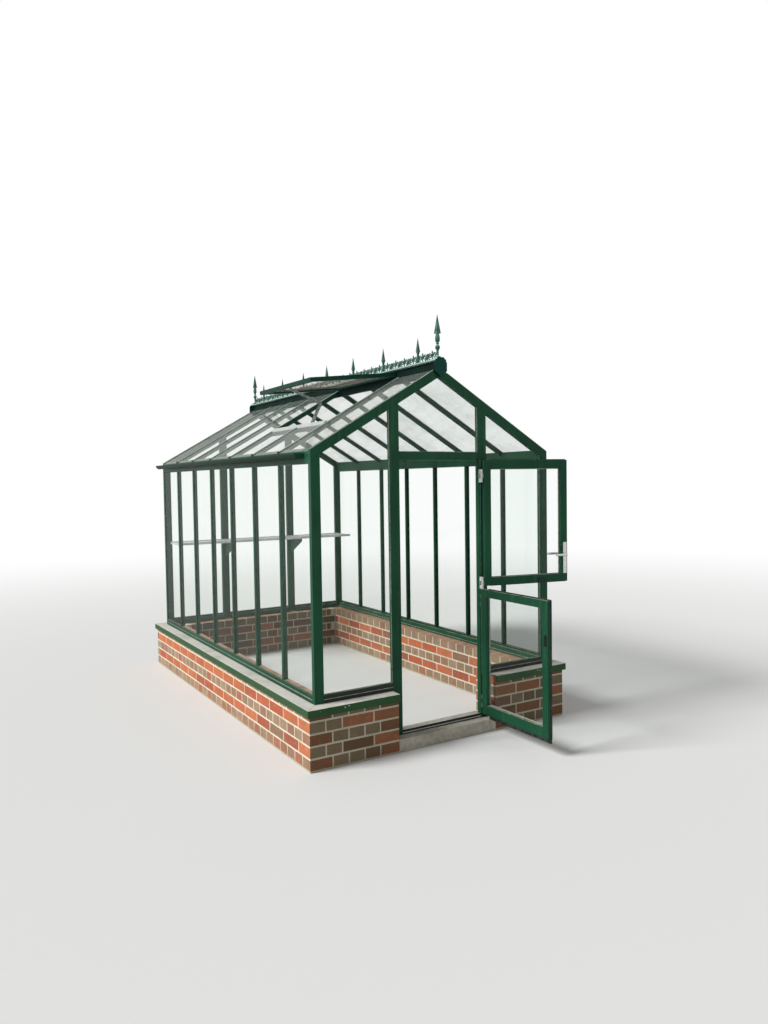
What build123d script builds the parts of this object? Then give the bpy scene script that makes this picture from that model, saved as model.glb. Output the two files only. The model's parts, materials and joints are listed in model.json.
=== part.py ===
from build123d import *
import os
from math import atan2, cos, degrees, radians, sin, tan

# Lengths are millimetres. X runs across the house, 0 on its centre line.
# Y runs from the door gable to the back gable, Z is up from the foot of the brickwork.

# Driving sizes of the house
house_width = 2120
bay_pitch = 508
bay_count = 7
eave_height = 2150
roof_pitch = 30

# Brick plinth, one brick thick
brick_length = 240
brick_course = 83.3
course_count = 5
plinth_outset = 81
jamb_gap = 6

# Coping from the base rails out over the top course, with a drip edge
coping_cap = 8
coping_drip = 52
coping_overhang = 20
drip_thickness = 8

# Door step and sill
step_height = 93
sill_height = 32
sill_depth = 60

# Aluminium frame members
frame_depth = 38
corner_width = 70
door_post_width = 76
rafter_width = 65
rail_height = 58
rail_step = 16
door_opening = 716
transom_low = 2078
transom_height = 59
eave_beam_depth = 40
eave_beam_height = 78

# Glazing bars and glass
bar_cap_width = 28
bar_cap = 5
bar_web = 8
bar_depth = 38
bar_foot_width = 18
bar_foot = 4
glass = 4
seat = 0.3
glass_inset = 12

# Ridge beam, standing over the roof glass, with a flat cap and a plate on each end
ridge_rise = 53
ridge_cap = 9
ridge_cap_half = 50
ridge_web_half = 22
ridge_web_depth = 62
ridge_plate_half = 56
ridge_plate_head = 28
ridge_plate_rise = 15
ridge_plate_shoulder = 40
ridge_plate_proud = 25

# Gutters
gutter_radius = 38
gutter_wall = 2.5
gutter_start = 95
gutter_drop = 24
gutter_fall_back = 6

# Ridge cresting: scrolls and spear points on a strip, with a tall spike over each bay
crest_base = 18
crest_thickness = 6
crest_height = 82
crest_per_bay = 4
scroll_radius = 17
scroll_bar = 5
scroll_side = 21
scroll_facet_angle = 54
curl_facet_angle = 60
spear_half = 8
spear_head = 16
small_spear_height = 62
spike_height = 108
spike_width = 24

# Finials: a turned stem given as (radius, height), and a square spike on it
finial_stem = [
    (25, 0), (25, 8), (9, 20), (8, 58), (18, 78), (8, 104), (17.5, 120), (17.5, 150), (13, 177),
]
finial_spike = 38
finial_spike_height = 144
finial_in = 15
point_width = 2

# Roof vent on the left slope, between the first and the third bar
vent_first_bay = 1
vent_bays = 2
vent_side_gap = 3
vent_rail = 40
vent_thickness = 32
vent_length = 764
vent_tilt_angle = 6.2
vent_hinge_drop = 16
vent_sill_place = 395
vent_sill_width = 24
vent_sill_rise = 8

# Vent opener, a little off the middle of the vent, on a gusset inside the sill bar
opener_aside = 68
opener_foot_in = 67
opener_foot_drop = 65
opener_arm_width = 18
opener_arm = 4
opener_gap = 16
opener_pin_radius = 5
opener_tube_radius = 8
opener_tube_share = 0.65
opener_knee_in = 108
opener_knee_rise = 223
opener_reach = 30

# Shelf along the back gable
shelf_height = 1314
shelf_depth = 300
shelf_thickness = 24
shelf_slat = 52
shelf_slat_gap = 10
shelf_end_gap = 6
bracket_width = 30
bracket_drop = 170
bracket_plate = 5

# Door leaves, hung in front of the right door post
leaf_width = 716
leaf_thickness = 40
leaf_clearance = 6
leaf_stile = 55
lower_low = 136
lower_top = 1094
lower_foot_rail = 74
lower_head_rail = 56
upper_low = 1119
upper_top = 2076
upper_foot_rail = 60
upper_head_rail = 66
leaf_glass_inset = 5
hairline = 0.2
lower_open_angle = 90
upper_open_angle = 167

# Black seals round the free edges of the leaves
seal_proud = 4
seal_depth = 12
seal_inset = 3
foot_seal = 35
meeting_seal = 6

# Door hinges, on the face of the right door post
pin_out = 30
pin_side = 7
hinge_edge = 11
hinge_height = 98
hinge_radius = 9
leaf_knuckle_radius = 10
hinge_pin_radius = 4
hinge_plate = 4
hinge_plate_width = 21
hinge_web_half = 6
hinge_inset = 88
upper_hinge_foot = 17
upper_hinge_head = 118
knuckle_gap = 0.5
knuckle_room = 1
pin_clearance = 0.3

# Beads down the face of the hinge post
inner_bead = (1, 7)
inner_bead_proud = 6
outer_bead = (30, 40)
outer_bead_proud = 9

# Lever handle on the upper leaf and latch on the lower leaf
handle_plate_drop = 149
handle_plate_height = 245
handle_plate_width = 30
handle_plate_thick = 8
handle_edge = 25
lever_over_foot = 213
lever_radius = 9
lever_length = 106
lever_stand = 48
spindle_clearance = 1
latch_height = 817
latch_tall = 72
latch_width = 18
latch_thick = 7
latch_edge = 22

# Slide bolt on the foot of the upper leaf
bolt_place = 500
bolt_length = 48
bolt_height = 20
bolt_thick = 12
bolt_rod = 5
bolt_rod_length = 72

# Sizes that follow from the driving ones
house_length = bay_count * bay_pitch + frame_depth
half_width = house_width / 2
slope = tan(radians(roof_pitch))
slope_cos = cos(radians(roof_pitch))
ridge_height = eave_height + half_width * slope
brick_top = course_count * brick_course
coping_top = brick_top + coping_cap
coping_edge = plinth_outset + coping_overhang
leaf_tip = hinge_edge + leaf_width + seal_proud
leaf_reach = pin_out + leaf_tip * sin(radians(lower_open_angle))
front = (leaf_reach - house_length - coping_edge) / 2
back = front + house_length
post_inner = door_opening / 2
post_outer = post_inner + door_post_width
pin_x = post_inner + pin_side
pin_y = front - pin_out
lever_height = upper_low + lever_over_foot


def block(x, y, z):
    """A box between two values along each axis."""
    size = [high - low for low, high in (x, y, z)]
    middle = [(low + high) / 2 for low, high in (x, y, z)]
    return Pos(*middle) * Box(*size)


def across(points, y_low, y_high):
    """A shape drawn in the plane of the gable as (x, z), carried along Y."""
    face = Plane.XZ * make_face(Polyline(*points, close=True))
    return Pos(0, y_high, 0) * extrude(face, amount=y_high - y_low)


def along(points, x_low, x_high):
    """A shape drawn as (y, z), carried along X."""
    face = Plane.YZ * make_face(Polyline(*points, close=True))
    return Pos(x_low, 0, 0) * extrude(face, amount=x_high - x_low)


def roof_z(x, below=0):
    """Height of the roof's outer plane at x, less a depth square to the slope."""
    return ridge_height - abs(x) * slope - below / slope_cos


def mirrored(shape):
    """The same piece on the right half of the house."""
    return mirror(shape, about=Plane.YZ)


def group(shapes):
    """Separate solids of one node."""
    solids = []
    for shape in shapes:
        solids.extend(shape.solids())
    return Compound(children=solids)


def save(name, shapes):
    """Write one node, from one shape or a list of separate ones."""
    shape = group(shapes) if isinstance(shapes, list) else shapes
    export_step(shape, f"parts/{name}.step")


def bay_line(index):
    """Y of the bar between two bays, counted from the door gable."""
    return front + frame_depth / 2 + index * bay_pitch


os.makedirs("parts", exist_ok=True)

# Brick plinth
outer_x = half_width + plinth_outset
inner_x = outer_x - brick_length
outer_front = front - plinth_outset
inner_front = outer_front + brick_length
outer_back = back + plinth_outset
inner_back = outer_back - brick_length
jamb_x = post_outer + jamb_gap
courses = (0, brick_top)
plinth_side = block((-outer_x, -inner_x), (outer_front, outer_back), courses)
plinth_front = block((-inner_x, -jamb_x), (outer_front, inner_front), courses)
save("plinth_left", plinth_side)
save("plinth_right", mirrored(plinth_side))
save("plinth_back", block((-inner_x, inner_x), (inner_back, outer_back), courses))
save("plinth_front", [plinth_front, mirrored(plinth_front)])

# Coping, a flat cap out from the inner edge of the base rails, with a drip edge down the brickwork
drip_low = coping_top - coping_drip
coping_z = (drip_low, coping_top)
coping_x = outer_x + coping_overhang
coping_y = (outer_front - coping_overhang, outer_back + coping_overhang)
rail_depth = frame_depth + rail_step
coping_in_x = half_width - rail_depth
coping_in_y = (front + rail_depth, back - rail_depth)
under_x = coping_x - drip_thickness
under_y = (coping_y[0] + drip_thickness, coping_y[1] - drip_thickness)
coping = block((-coping_x, coping_x), coping_y, coping_z)
coping -= block((-under_x, under_x), under_y, (drip_low, brick_top + seat))
coping -= block((-coping_in_x, coping_in_x), coping_in_y, coping_z)
coping -= block((-jamb_x, jamb_x), (coping_y[0], coping_in_y[0]), coping_z)
for x in (-coping_in_x, coping_in_x):
    coping -= block((x - hairline / 2, x + hairline / 2), coping_y, coping_z)
save("coping", coping)

# Concrete step and aluminium sill in the doorway
save("door_step", block((-jamb_x + seat, jamb_x - seat), (outer_front, inner_front), (0, step_height)))
sill_low = step_height
sill_top = step_height + sill_height
sill_points = [
    (front, sill_low), (front + sill_depth, sill_low), (front + sill_depth, sill_low + sill_height / 2),
    (front + frame_depth / 2, sill_top), (front, sill_top),
]
save("door_sill", along(sill_points, -post_inner + seat, post_inner - seat))

# Base rails on the coping, with a stepped top
rail_top = coping_top + rail_height
rail_low_top = rail_top - rail_step


def rail_section(outer, inward):
    """Rail whose inner half is one step lower; inward is +1 or -1."""
    middle = outer + inward * frame_depth / 2
    inner = outer + inward * rail_depth
    return [
        (outer, coping_top), (inner, coping_top), (inner, coping_top + rail_step),
        (outer + inward * frame_depth, rail_low_top), (middle, rail_low_top), (middle, rail_top),
        (outer, rail_top),
    ]


rail_x = half_width - corner_width - seat
side_rail = across(rail_section(-half_width, 1), front + frame_depth + seat, back - frame_depth - seat)
back_rail_points = rail_section(back, -1)
front_rail_points = rail_section(front, 1)
front_rail = along(front_rail_points, -rail_x, -post_outer - seat)
back_rail_side = along(back_rail_points, -rail_x, -post_outer - seat)
back_rail_middle = along(back_rail_points, -post_inner + seat, post_inner - seat)
save("base_rails_sides", [side_rail, mirrored(side_rail)])
save(
    "base_rails_gables",
    [front_rail, mirrored(front_rail), back_rail_side, mirrored(back_rail_side), back_rail_middle],
)

# Corner posts, door posts and back mullions, cut to the slope under the rafters
def gable_post(x_low, x_high, foot, y_low):
    """Post between two x, from its foot to the underside of the gable rafter."""
    points = [
        (x_low, foot), (x_high, foot),
        (x_high, roof_z(x_high, rafter_width + seat)), (x_low, roof_z(x_low, rafter_width + seat)),
    ]
    return across(points, y_low, y_low + frame_depth)


corner_front = gable_post(-half_width, -half_width + corner_width, coping_top, front)
corner_back = gable_post(-half_width, -half_width + corner_width, coping_top, back - frame_depth)
save("corner_posts", [corner_front, mirrored(corner_front), corner_back, mirrored(corner_back)])
door_post = gable_post(-post_outer, -post_inner, step_height, front)
hinge_post = mirrored(door_post)
for (low, high), proud in ((inner_bead, inner_bead_proud), (outer_bead, outer_bead_proud)):
    bead_x = (post_inner + low, post_inner + high)
    hinge_post += block(bead_x, (front - proud, front + seat), (step_height, transom_low))
back_post = gable_post(-post_outer, -post_inner, coping_top, back - frame_depth)
save("back_mullions", [back_post, mirrored(back_post)])
transom_high = transom_low + transom_height
doorway_x = (-post_inner + seat, post_inner - seat)
save("door_transom", block(doorway_x, (front, front + frame_depth), (transom_low, transom_high)))

# Gable rafters, mitred at the apex
rafter_points = [
    (-half_width, roof_z(half_width)), (-seat, roof_z(seat)),
    (-seat, roof_z(seat, rafter_width)), (-half_width, roof_z(half_width, rafter_width)),
]
rafter_front = across(rafter_points, front, front + frame_depth)
rafter_back = across(rafter_points, back - frame_depth, back)
save("gable_rafters", [rafter_front, mirrored(rafter_front), rafter_back, mirrored(rafter_back)])

# Eave beams, their tops under the roof glass
inside_low = front + frame_depth + seat
inside_high = back - frame_depth - seat
glass_bed = bar_cap + seat + glass + seat
beam_inner = half_width - eave_beam_depth
beam_low = eave_height - eave_beam_height - rail_step
beam_points = [
    (-half_width, beam_low), (-beam_inner, beam_low),
    (-beam_inner, roof_z(beam_inner, glass_bed)), (-half_width, roof_z(half_width, glass_bed)),
]
eave_beam = across(beam_points, inside_low, inside_high)
save("eave_beams", [eave_beam, mirrored(eave_beam)])

# Half-round gutters against the eave beams, closed at both ends
gutter_x = half_width + seat + gutter_radius
gutter_z = eave_height - gutter_drop
gutter_low = front + gutter_start
gutter_high = back - gutter_fall_back


def half_round(radius, y_low, y_high):
    """Lower half of a round bar along Y at the gutter's centre."""
    bar = Pos(-gutter_x, (y_low + y_high) / 2, gutter_z) * Rot(90, 0, 0) * Cylinder(radius, y_high - y_low)
    keep = block(
        (-gutter_x - radius, -gutter_x + radius), (y_low, y_high), (gutter_z - radius, gutter_z)
    )
    return bar & keep


gutter = half_round(gutter_radius, gutter_low, gutter_high)
gutter -= half_round(gutter_radius - gutter_wall, gutter_low + gutter_wall, gutter_high - gutter_wall)
save("gutters", [gutter, mirrored(gutter)])

# Ridge: a web between the gables and over them, a flat cap, and a plate with a finial pad on each end
ridge_top = ridge_height + ridge_rise
cap_low = ridge_top - ridge_cap
web_low = ridge_height - ridge_web_depth
plate_top = ridge_top + ridge_plate_rise
over_gable = [
    (-ridge_web_half, roof_z(ridge_web_half, -seat)), (0, roof_z(0, -seat)),
    (ridge_web_half, roof_z(ridge_web_half, -seat)), (ridge_web_half, ridge_top), (-ridge_web_half, ridge_top),
]
plate_left = [
    (-ridge_plate_half, roof_z(ridge_plate_half)), (-ridge_plate_half, plate_top - ridge_plate_shoulder),
    (-ridge_plate_head, plate_top),
]
plate_right = [(-x, z) for x, z in reversed(plate_left)]
plate_points = [*plate_left, *plate_right, (0, roof_z(0, rafter_width))]
pad_reach = finial_in + finial_stem[0][0]
ridge = block((-ridge_web_half, ridge_web_half), (inside_low, inside_high), (web_low, ridge_top))
ridge += across(over_gable, front, back)
ridge += block(
    (-ridge_cap_half, ridge_cap_half), (front - ridge_plate_proud, back + ridge_plate_proud), (cap_low, ridge_top)
)
pad_x = (-ridge_plate_head, ridge_plate_head)
for plate_y, pad_y in (
    ((front - ridge_plate_proud, front - seat), (front - ridge_plate_proud, front + pad_reach)),
    ((back + seat, back + ridge_plate_proud), (back - pad_reach, back + ridge_plate_proud)),
):
    ridge += across(plate_points, *plate_y) + block(pad_x, pad_y, (cap_low, plate_top))
save("ridge_beam", ridge)


# Glazing bars: an outer cap, a web and a foot
def bar_section():
    """Outline of the glazing bar, cap outward, as (across, inward)."""
    cap = bar_cap_width / 2
    web = bar_web / 2
    foot = bar_foot_width / 2
    neck = bar_depth - bar_foot
    return [
        (-cap, 0), (cap, 0), (cap, bar_cap), (web, bar_cap), (web, neck), (foot, neck), (foot, bar_depth),
        (-foot, bar_depth), (-foot, neck), (-web, neck), (-web, bar_cap), (-cap, bar_cap),
    ]


def wall_bar(index):
    """Upright bar of the left wall, from the base rail to the eave beam."""
    y = bay_line(index)
    points = [(-half_width + inward, y + side) for side, inward in bar_section()]
    face = make_face(Polyline(*points, close=True))
    upright = extrude(face, amount=beam_low - rail_top - 2 * seat)
    return Pos(0, 0, rail_top + seat) * upright


wall_bars = [wall_bar(index) for index in range(1, bay_count)]
save("wall_bars", wall_bars + [mirrored(bar) for bar in wall_bars])


def roof_strip(x_low, x_high, y_low, y_high, top, bottom):
    """Slab of the left slope between two x and two depths below the roof plane."""
    points = [
        (-x_low, roof_z(x_low, top)), (-x_high, roof_z(x_high, top)),
        (-x_high, roof_z(x_high, bottom)), (-x_low, roof_z(x_low, bottom)),
    ]
    return across(points, y_low, y_high)


roof_foot = half_width
roof_head = ridge_web_half + seat


def roof_bar(index, foot, head):
    """Sloping bar of the left roof; its web starts behind the eave beam."""
    y = bay_line(index)
    web_foot = min(foot, beam_inner - seat)
    cap = roof_strip(foot, head, y - bar_cap_width / 2, y + bar_cap_width / 2, 0, bar_cap)
    web = roof_strip(web_foot, head, y - bar_web / 2, y + bar_web / 2, bar_cap / 2, bar_depth - bar_foot / 2)
    low = roof_strip(
        web_foot, head, y - bar_foot_width / 2, y + bar_foot_width / 2, bar_depth - bar_foot, bar_depth
    )
    return cap + web + low


vent_middle_bars = range(vent_first_bay + 1, vent_first_bay + vent_bays)
sill_x = half_width - vent_sill_place
sill_face = sill_x + vent_sill_width / 2 + seat
right_roof_bars = [mirrored(roof_bar(index, roof_foot, roof_head)) for index in range(1, bay_count)]
left_roof_bars = [
    roof_bar(index, roof_foot, sill_face if index in vent_middle_bars else roof_head)
    for index in range(1, bay_count)
]
save("roof_bars", left_roof_bars + right_roof_bars)


# Wall glass, one pane a bay, held under the bar caps
def bay_span(index):
    """Y limits of one pane between the webs on either side of its bay."""
    low = bay_line(index) + bar_web / 2 + seat
    high = bay_line(index + 1) - bar_web / 2 - seat
    if index == 0:
        low = inside_low
    if index == bay_count - 1:
        high = inside_high
    return low, high


glass_x = half_width - bar_cap - seat
pane_low = rail_top + seat
pane_high = beam_low - seat
wall_panes = [
    block((-glass_x, -glass_x + glass), bay_span(index), (pane_low, pane_high)) for index in range(bay_count)
]
save("wall_glass", wall_panes + [mirrored(pane) for pane in wall_panes])


# Roof glass, short under the vent
def roof_pane(index, head):
    """Pane of the left slope from the gutter up to a given x."""
    low, high = bay_span(index)
    return roof_strip(roof_foot, head, low, high, bar_cap + seat, bar_cap + seat + glass)


vent_bay_range = range(vent_first_bay, vent_first_bay + vent_bays)
left_panes = [
    roof_pane(index, sill_face if index in vent_bay_range else roof_head) for index in range(bay_count)
]
right_panes = [mirrored(roof_pane(index, roof_head)) for index in range(bay_count)]
save("roof_glass", left_panes + right_panes)


# Gable glass, cut to the rafters
def gable_pane(x_low, x_high, foot, y_low):
    """Pane beside the doorway or between the mullions."""
    top = [(x, roof_z(x, rafter_width + seat)) for x in (x_high, x_low)]
    if x_low < 0 < x_high:
        top.insert(1, (0, roof_z(0, rafter_width + seat)))
    return across([(x_low, foot), (x_high, foot), *top], y_low, y_low + glass)


edge = half_width - corner_width - seat
front_glass_y = front + glass_inset
back_glass_y = back - glass_inset - glass
front_pane = gable_pane(-edge, -post_outer - seat, pane_low, front_glass_y)
over_door = gable_pane(-post_inner + seat, post_inner - seat, transom_high + seat, front_glass_y)
back_pane = gable_pane(-edge, -post_outer - seat, pane_low, back_glass_y)
back_middle = gable_pane(-post_inner + seat, post_inner - seat, pane_low, back_glass_y)
save("front_gable_glass", [front_pane, mirrored(front_pane), over_door])
save("back_gable_glass", [back_pane, mirrored(back_pane), back_middle])

# Sill bar across the foot of the vent opening
vent_low = bay_line(vent_first_bay) + bar_cap_width / 2 + seat
vent_high = bay_line(vent_first_bay + vent_bays) - bar_cap_width / 2 - seat
sill_foot = sill_x + vent_sill_width / 2
sill_head = sill_x - vent_sill_width / 2
save("vent_sill_bar", roof_strip(sill_foot, sill_head, vent_low, vent_high, -vent_sill_rise, bar_depth))

# Vent frame and glass, laid out flat from the ridge web and then tilted
tilt = radians(vent_tilt_angle)
vent_x = -ridge_web_half - seat - vent_thickness * sin(tilt)
vent_z = cap_low - vent_hinge_drop
vent_y_low = vent_low + vent_side_gap
vent_y_high = vent_high - vent_side_gap


def vent_piece(x, y, z):
    """Piece of the vent given by its reach from the hinge, tilted to the open pose."""
    flat = block((-x[1], -x[0]), y, z)
    return Pos(vent_x, 0, vent_z) * Rot(0, -vent_tilt_angle, 0) * flat


frame_z = (-vent_thickness, 0)
inner_y = (vent_y_low + vent_rail + hairline, vent_y_high - vent_rail - hairline)
vent_sides = [
    vent_piece((0, vent_length), (vent_y_low, vent_y_low + vent_rail), frame_z),
    vent_piece((0, vent_length), (vent_y_high - vent_rail, vent_y_high), frame_z),
]
vent_ends = [
    vent_piece((0, vent_rail), inner_y, frame_z),
    vent_piece((vent_length - vent_rail, vent_length), inner_y, frame_z),
]
save("vent_frame", vent_sides + vent_ends)
vent_glass_z = (-vent_thickness / 2 - glass / 2, -vent_thickness / 2 + glass / 2)
vent_glass_y = (inner_y[0] + hairline, inner_y[1] - hairline)
vent_pane = vent_piece((vent_rail + seat, vent_length - vent_rail - seat), vent_glass_y, vent_glass_z)
save("vent_glass", vent_pane)


# Vent opener: two pairs of arms from the gusset and the free rail to a knee, and a piston tube
def link(start, end, width, thickness, y):
    """Flat arm between two (x, z) points, centred on y."""
    length = (Vector(*end) - Vector(*start)).length
    angle = degrees(atan2(end[1] - start[1], end[0] - start[0]))
    flat = Box(length, thickness, width)
    return Pos((start[0] + end[0]) / 2, y, (start[1] + end[1]) / 2) * Rot(0, -angle, 0) * flat


def cross_pin(point, radius, reach, y):
    """Round pin along Y through an (x, z) point."""
    return Pos(point[0], y, point[1]) * Rot(90, 0, 0) * Cylinder(radius, reach)


opener_y = (vent_low + vent_high) / 2 - opener_aside
foot_x = sill_x - opener_foot_in
lower_pivot = (-foot_x, roof_z(foot_x, opener_foot_drop))
knee = (lower_pivot[0] + opener_knee_in, lower_pivot[1] + opener_knee_rise)
rail_reach = vent_length - opener_reach
upper_pivot = (
    vent_x - rail_reach * cos(tilt),
    vent_z - rail_reach * sin(tilt) - vent_thickness / cos(tilt) - opener_arm_width / 2 - seat,
)
pair = opener_gap / 2 + opener_arm
gusset_x = -sill_head + seat
gusset_points = [
    (gusset_x, roof_z(sill_head, bar_depth)), (gusset_x, roof_z(sill_head, glass_bed)),
    (lower_pivot[0], lower_pivot[1] + opener_arm_width / 2),
    (lower_pivot[0], lower_pivot[1] - opener_arm_width / 2),
]
opener = across(gusset_points, opener_y - opener_gap / 2, opener_y + opener_gap / 2)
for pivot in (lower_pivot, knee, upper_pivot):
    opener += cross_pin(pivot, opener_pin_radius, 2 * pair + opener_arm, opener_y)
for side in (-1, 1):
    opener += link(lower_pivot, knee, opener_arm_width, opener_arm, opener_y + side * pair)
    opener += link(knee, upper_pivot, opener_arm_width, opener_arm, opener_y + side * (pair - opener_arm))
piston_angle = degrees(atan2(knee[0] - lower_pivot[0], knee[1] - lower_pivot[1]))
piston_length = opener_tube_share * (Vector(*knee) - Vector(*lower_pivot)).length
piston = Cylinder(opener_tube_radius, piston_length, align=(Align.CENTER, Align.CENTER, Align.MIN))
opener += Pos(lower_pivot[0], opener_y, lower_pivot[1]) * Rot(0, piston_angle, 0) * piston
save("vent_opener", opener)

# Slatted shelf along the back gable, carried by brackets on the frame
shelf_back = back - frame_depth - rail_step - seat
shelf_front = shelf_back - shelf_depth
shelf_half = beam_inner - shelf_end_gap
shelf_top = shelf_height
shelf_low = shelf_height - shelf_thickness
slat_pitch = shelf_slat + shelf_slat_gap
slat_count = int((shelf_depth - shelf_slat_gap) // slat_pitch)
shelf = block((-shelf_half, shelf_half), (shelf_front, shelf_front + bracket_plate), (shelf_low, shelf_top))
shelf += block((-shelf_half, shelf_half), (shelf_back - bracket_plate, shelf_back), (shelf_low, shelf_top))
for index in range(slat_count):
    slat_low = shelf_front + shelf_slat_gap + index * slat_pitch
    slat_y = (slat_low, slat_low + shelf_slat)
    shelf += block((-shelf_half, shelf_half), slat_y, (shelf_low + bracket_plate, shelf_top - bracket_plate))
for x in (-shelf_half + bracket_width / 2, -post_inner, post_inner, shelf_half - bracket_width / 2):
    tie_x = (x - bracket_width / 2, x + bracket_width / 2)
    shelf += block(tie_x, (shelf_front, shelf_back), (shelf_low, shelf_low + bracket_plate))
save("back_shelf", shelf)


def shelf_bracket(x):
    """Angle bracket from a back mullion to the underside of the shelf."""
    wall = back - frame_depth - seat
    tip = wall - shelf_depth
    top = shelf_low - seat
    foot = shelf_low - bracket_drop
    outline = [(wall, top), (tip, top), (tip, top - bracket_width), (wall - bracket_width, foot), (wall, foot)]
    return along(outline, x - bracket_plate / 2, x + bracket_plate / 2)


bracket_x = (post_inner + post_outer) / 2
save("shelf_brackets", [shelf_bracket(-bracket_x), shelf_bracket(bracket_x)])

# Ridge cresting in lengths of one bay, standing on the ridge cap
crest_foot = ridge_top + seat
crest_unit = bay_pitch / crest_per_bay
bay_middle = bay_pitch / 2


def scroll(side):
    """Flat band from the strip round to the spear and curling in, on side -1 or +1."""
    rise = [(scroll_side, scroll_radius, angle) for angle in range(-90, 180, scroll_facet_angle)]
    curl_radius = scroll_radius / 2
    curl = [(scroll_side - curl_radius, curl_radius, angle) for angle in range(180, 361, curl_facet_angle)]
    edges = []
    for half_bar in (scroll_bar / 2, -scroll_bar / 2):
        edges.append([
            (
                side * (x + (radius + half_bar) * cos(radians(angle))),
                crest_base + scroll_radius + (radius + half_bar) * sin(radians(angle)),
            )
            for x, radius, angle in rise + curl
        ])
    return make_face(Polyline(*edges[0], *reversed(edges[1]), close=True))


def spear(height):
    """Narrow stem with a pointed head."""
    neck = height - spear_head
    stem = scroll_bar / 2
    return make_face(Polyline(
        (-stem, 0), (stem, 0), (stem, neck - spear_head / 2), (spear_half, neck), (0, height),
        (-spear_half, neck), (-stem, neck - spear_head / 2), close=True,
    ))


def square_spike(width, height):
    """Slender pyramid with a blunt point."""
    return loft([Rectangle(width, width), Pos(0, 0, height) * Rectangle(point_width, point_width)])


crest_drawing = Pos(bay_middle, crest_base / 2) * Rectangle(bay_pitch - hairline, crest_base)
for unit in range(crest_per_bay):
    unit_middle = (unit + 0.5) * crest_unit
    crest_drawing += Pos(unit_middle, 0) * (spear(crest_height) + scroll(-1) + scroll(1))
for joint in range(1, crest_per_bay):
    crest_drawing += Pos(joint * crest_unit, 0) * spear(small_spear_height)
crest_bay = Plane.YZ * extrude(crest_drawing, amount=crest_thickness / 2, both=True)
crest_bay = Pos(0, 0, crest_foot) * crest_bay
spike_foot = crest_foot + small_spear_height - spear_head
crest_bay += Pos(0, bay_middle, spike_foot) * square_spike(spike_width, spike_height)
crest = [Pos(0, bay_line(bay), 0) * crest_bay for bay in range(bay_count)]
for length, end in ((0, front), (-1, back)):
    end_y = (end - pad_reach - seat, end + pad_reach + seat)
    crest[length] -= block((-spike_width, spike_width), end_y, (web_low, spike_foot + spike_height))
save("ridge_cresting", crest)

# Finials on both ends of the ridge
spike_low = finial_stem[-1][1]
stem_profile = Plane.XZ * make_face(Polyline((0, 0), *finial_stem, (0, spike_low), close=True))
stem = revolve(stem_profile, axis=Axis.Z)
finial_whole = stem + Pos(0, 0, spike_low) * square_spike(finial_spike, finial_spike_height)
finial_z = plate_top + seat
save("finials", [Pos(0, y, finial_z) * finial_whole for y in (front + finial_in, back - finial_in)])

# Door leaves, drawn closed as (distance from the hinge edge, height) and then swung open
leaf_out = front - leaf_clearance - leaf_thickness
leaf_in = front - leaf_clearance
leaf_right = pin_x - hinge_edge
leaf_left = leaf_right - leaf_width


def swung(shape, angle):
    """Turn a piece of a closed leaf about the hinge pin."""
    return Pos(pin_x, pin_y, 0) * Rot(0, 0, angle) * Pos(-pin_x, -pin_y, 0) * shape


def leaf_frame(low, high, foot_rail, head_rail):
    """Two stiles and two rails, meeting at a hairline."""
    depth = (leaf_out, leaf_in)
    inner = (leaf_left + leaf_stile + hairline, leaf_right - leaf_stile - hairline)
    return [
        block((leaf_left, leaf_left + leaf_stile), depth, (low, high)),
        block((leaf_right - leaf_stile, leaf_right), depth, (low, high)),
        block(inner, depth, (low, low + foot_rail)),
        block(inner, depth, (high - head_rail, high)),
    ]


def leaf_glass(low, high, foot_rail, head_rail):
    """Pane inside the frame of a leaf, near its outer face."""
    span = (leaf_left + leaf_stile + seat, leaf_right - leaf_stile - seat)
    return block(
        span, (leaf_out + leaf_glass_inset, leaf_out + leaf_glass_inset + glass),
        (low + foot_rail + seat, high - head_rail - seat),
    )


def leaf_seals(low, high, foot, head):
    """Strips on the foot, the free edge and the head of a leaf."""
    depth = (leaf_out + seal_inset, leaf_out + seal_inset + seal_depth)
    span = (leaf_left, leaf_right - leaf_stile)
    return [
        block(span, depth, (low - foot, low)),
        block((leaf_left - seal_proud, leaf_left), depth, (low, high)),
        block(span, depth, (high, high + head)),
    ]


leaves = {
    "lower_leaf": (lower_low, lower_top, lower_foot_rail, lower_head_rail),
    "upper_leaf": (upper_low, upper_top, upper_foot_rail, upper_head_rail),
}
open_angle = {"lower_leaf": lower_open_angle, "upper_leaf": upper_open_angle}
seal_reach = {"lower_leaf": (foot_seal, meeting_seal), "upper_leaf": (meeting_seal, meeting_seal)}
hinge_place = {
    "lower_leaf": (lower_low + hinge_inset, lower_top - hinge_inset),
    "upper_leaf": (upper_low + upper_hinge_foot, upper_top - upper_hinge_head),
}
post_hinges = []
third = hinge_height / 3


def knuckle(z, radius, height):
    """Round bar about the hinge pin."""
    return Pos(pin_x, pin_y, z) * Cylinder(radius, height)


def post_hinge(z):
    """Fixed half: a plate on the post, two barrels on webs, and the pin."""
    room = leaf_knuckle_radius + knuckle_room
    half = knuckle(z, hinge_radius, hinge_height)
    half += block(
        (pin_x - hinge_web_half, pin_x + hinge_web_half), (pin_y, front - seat / 2),
        (z - hinge_height / 2, z + hinge_height / 2),
    )
    half -= block(
        (pin_x - room, pin_x + room), (pin_y - room, front - hinge_plate), (z - third / 2, z + third / 2),
    )
    half += block(
        (pin_x - hinge_web_half, pin_x + hinge_plate_width), (front - hinge_plate, front - seat / 2),
        (z - hinge_height / 2, z + hinge_height / 2),
    )
    return half + knuckle(z, hinge_pin_radius, hinge_height)


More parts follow.
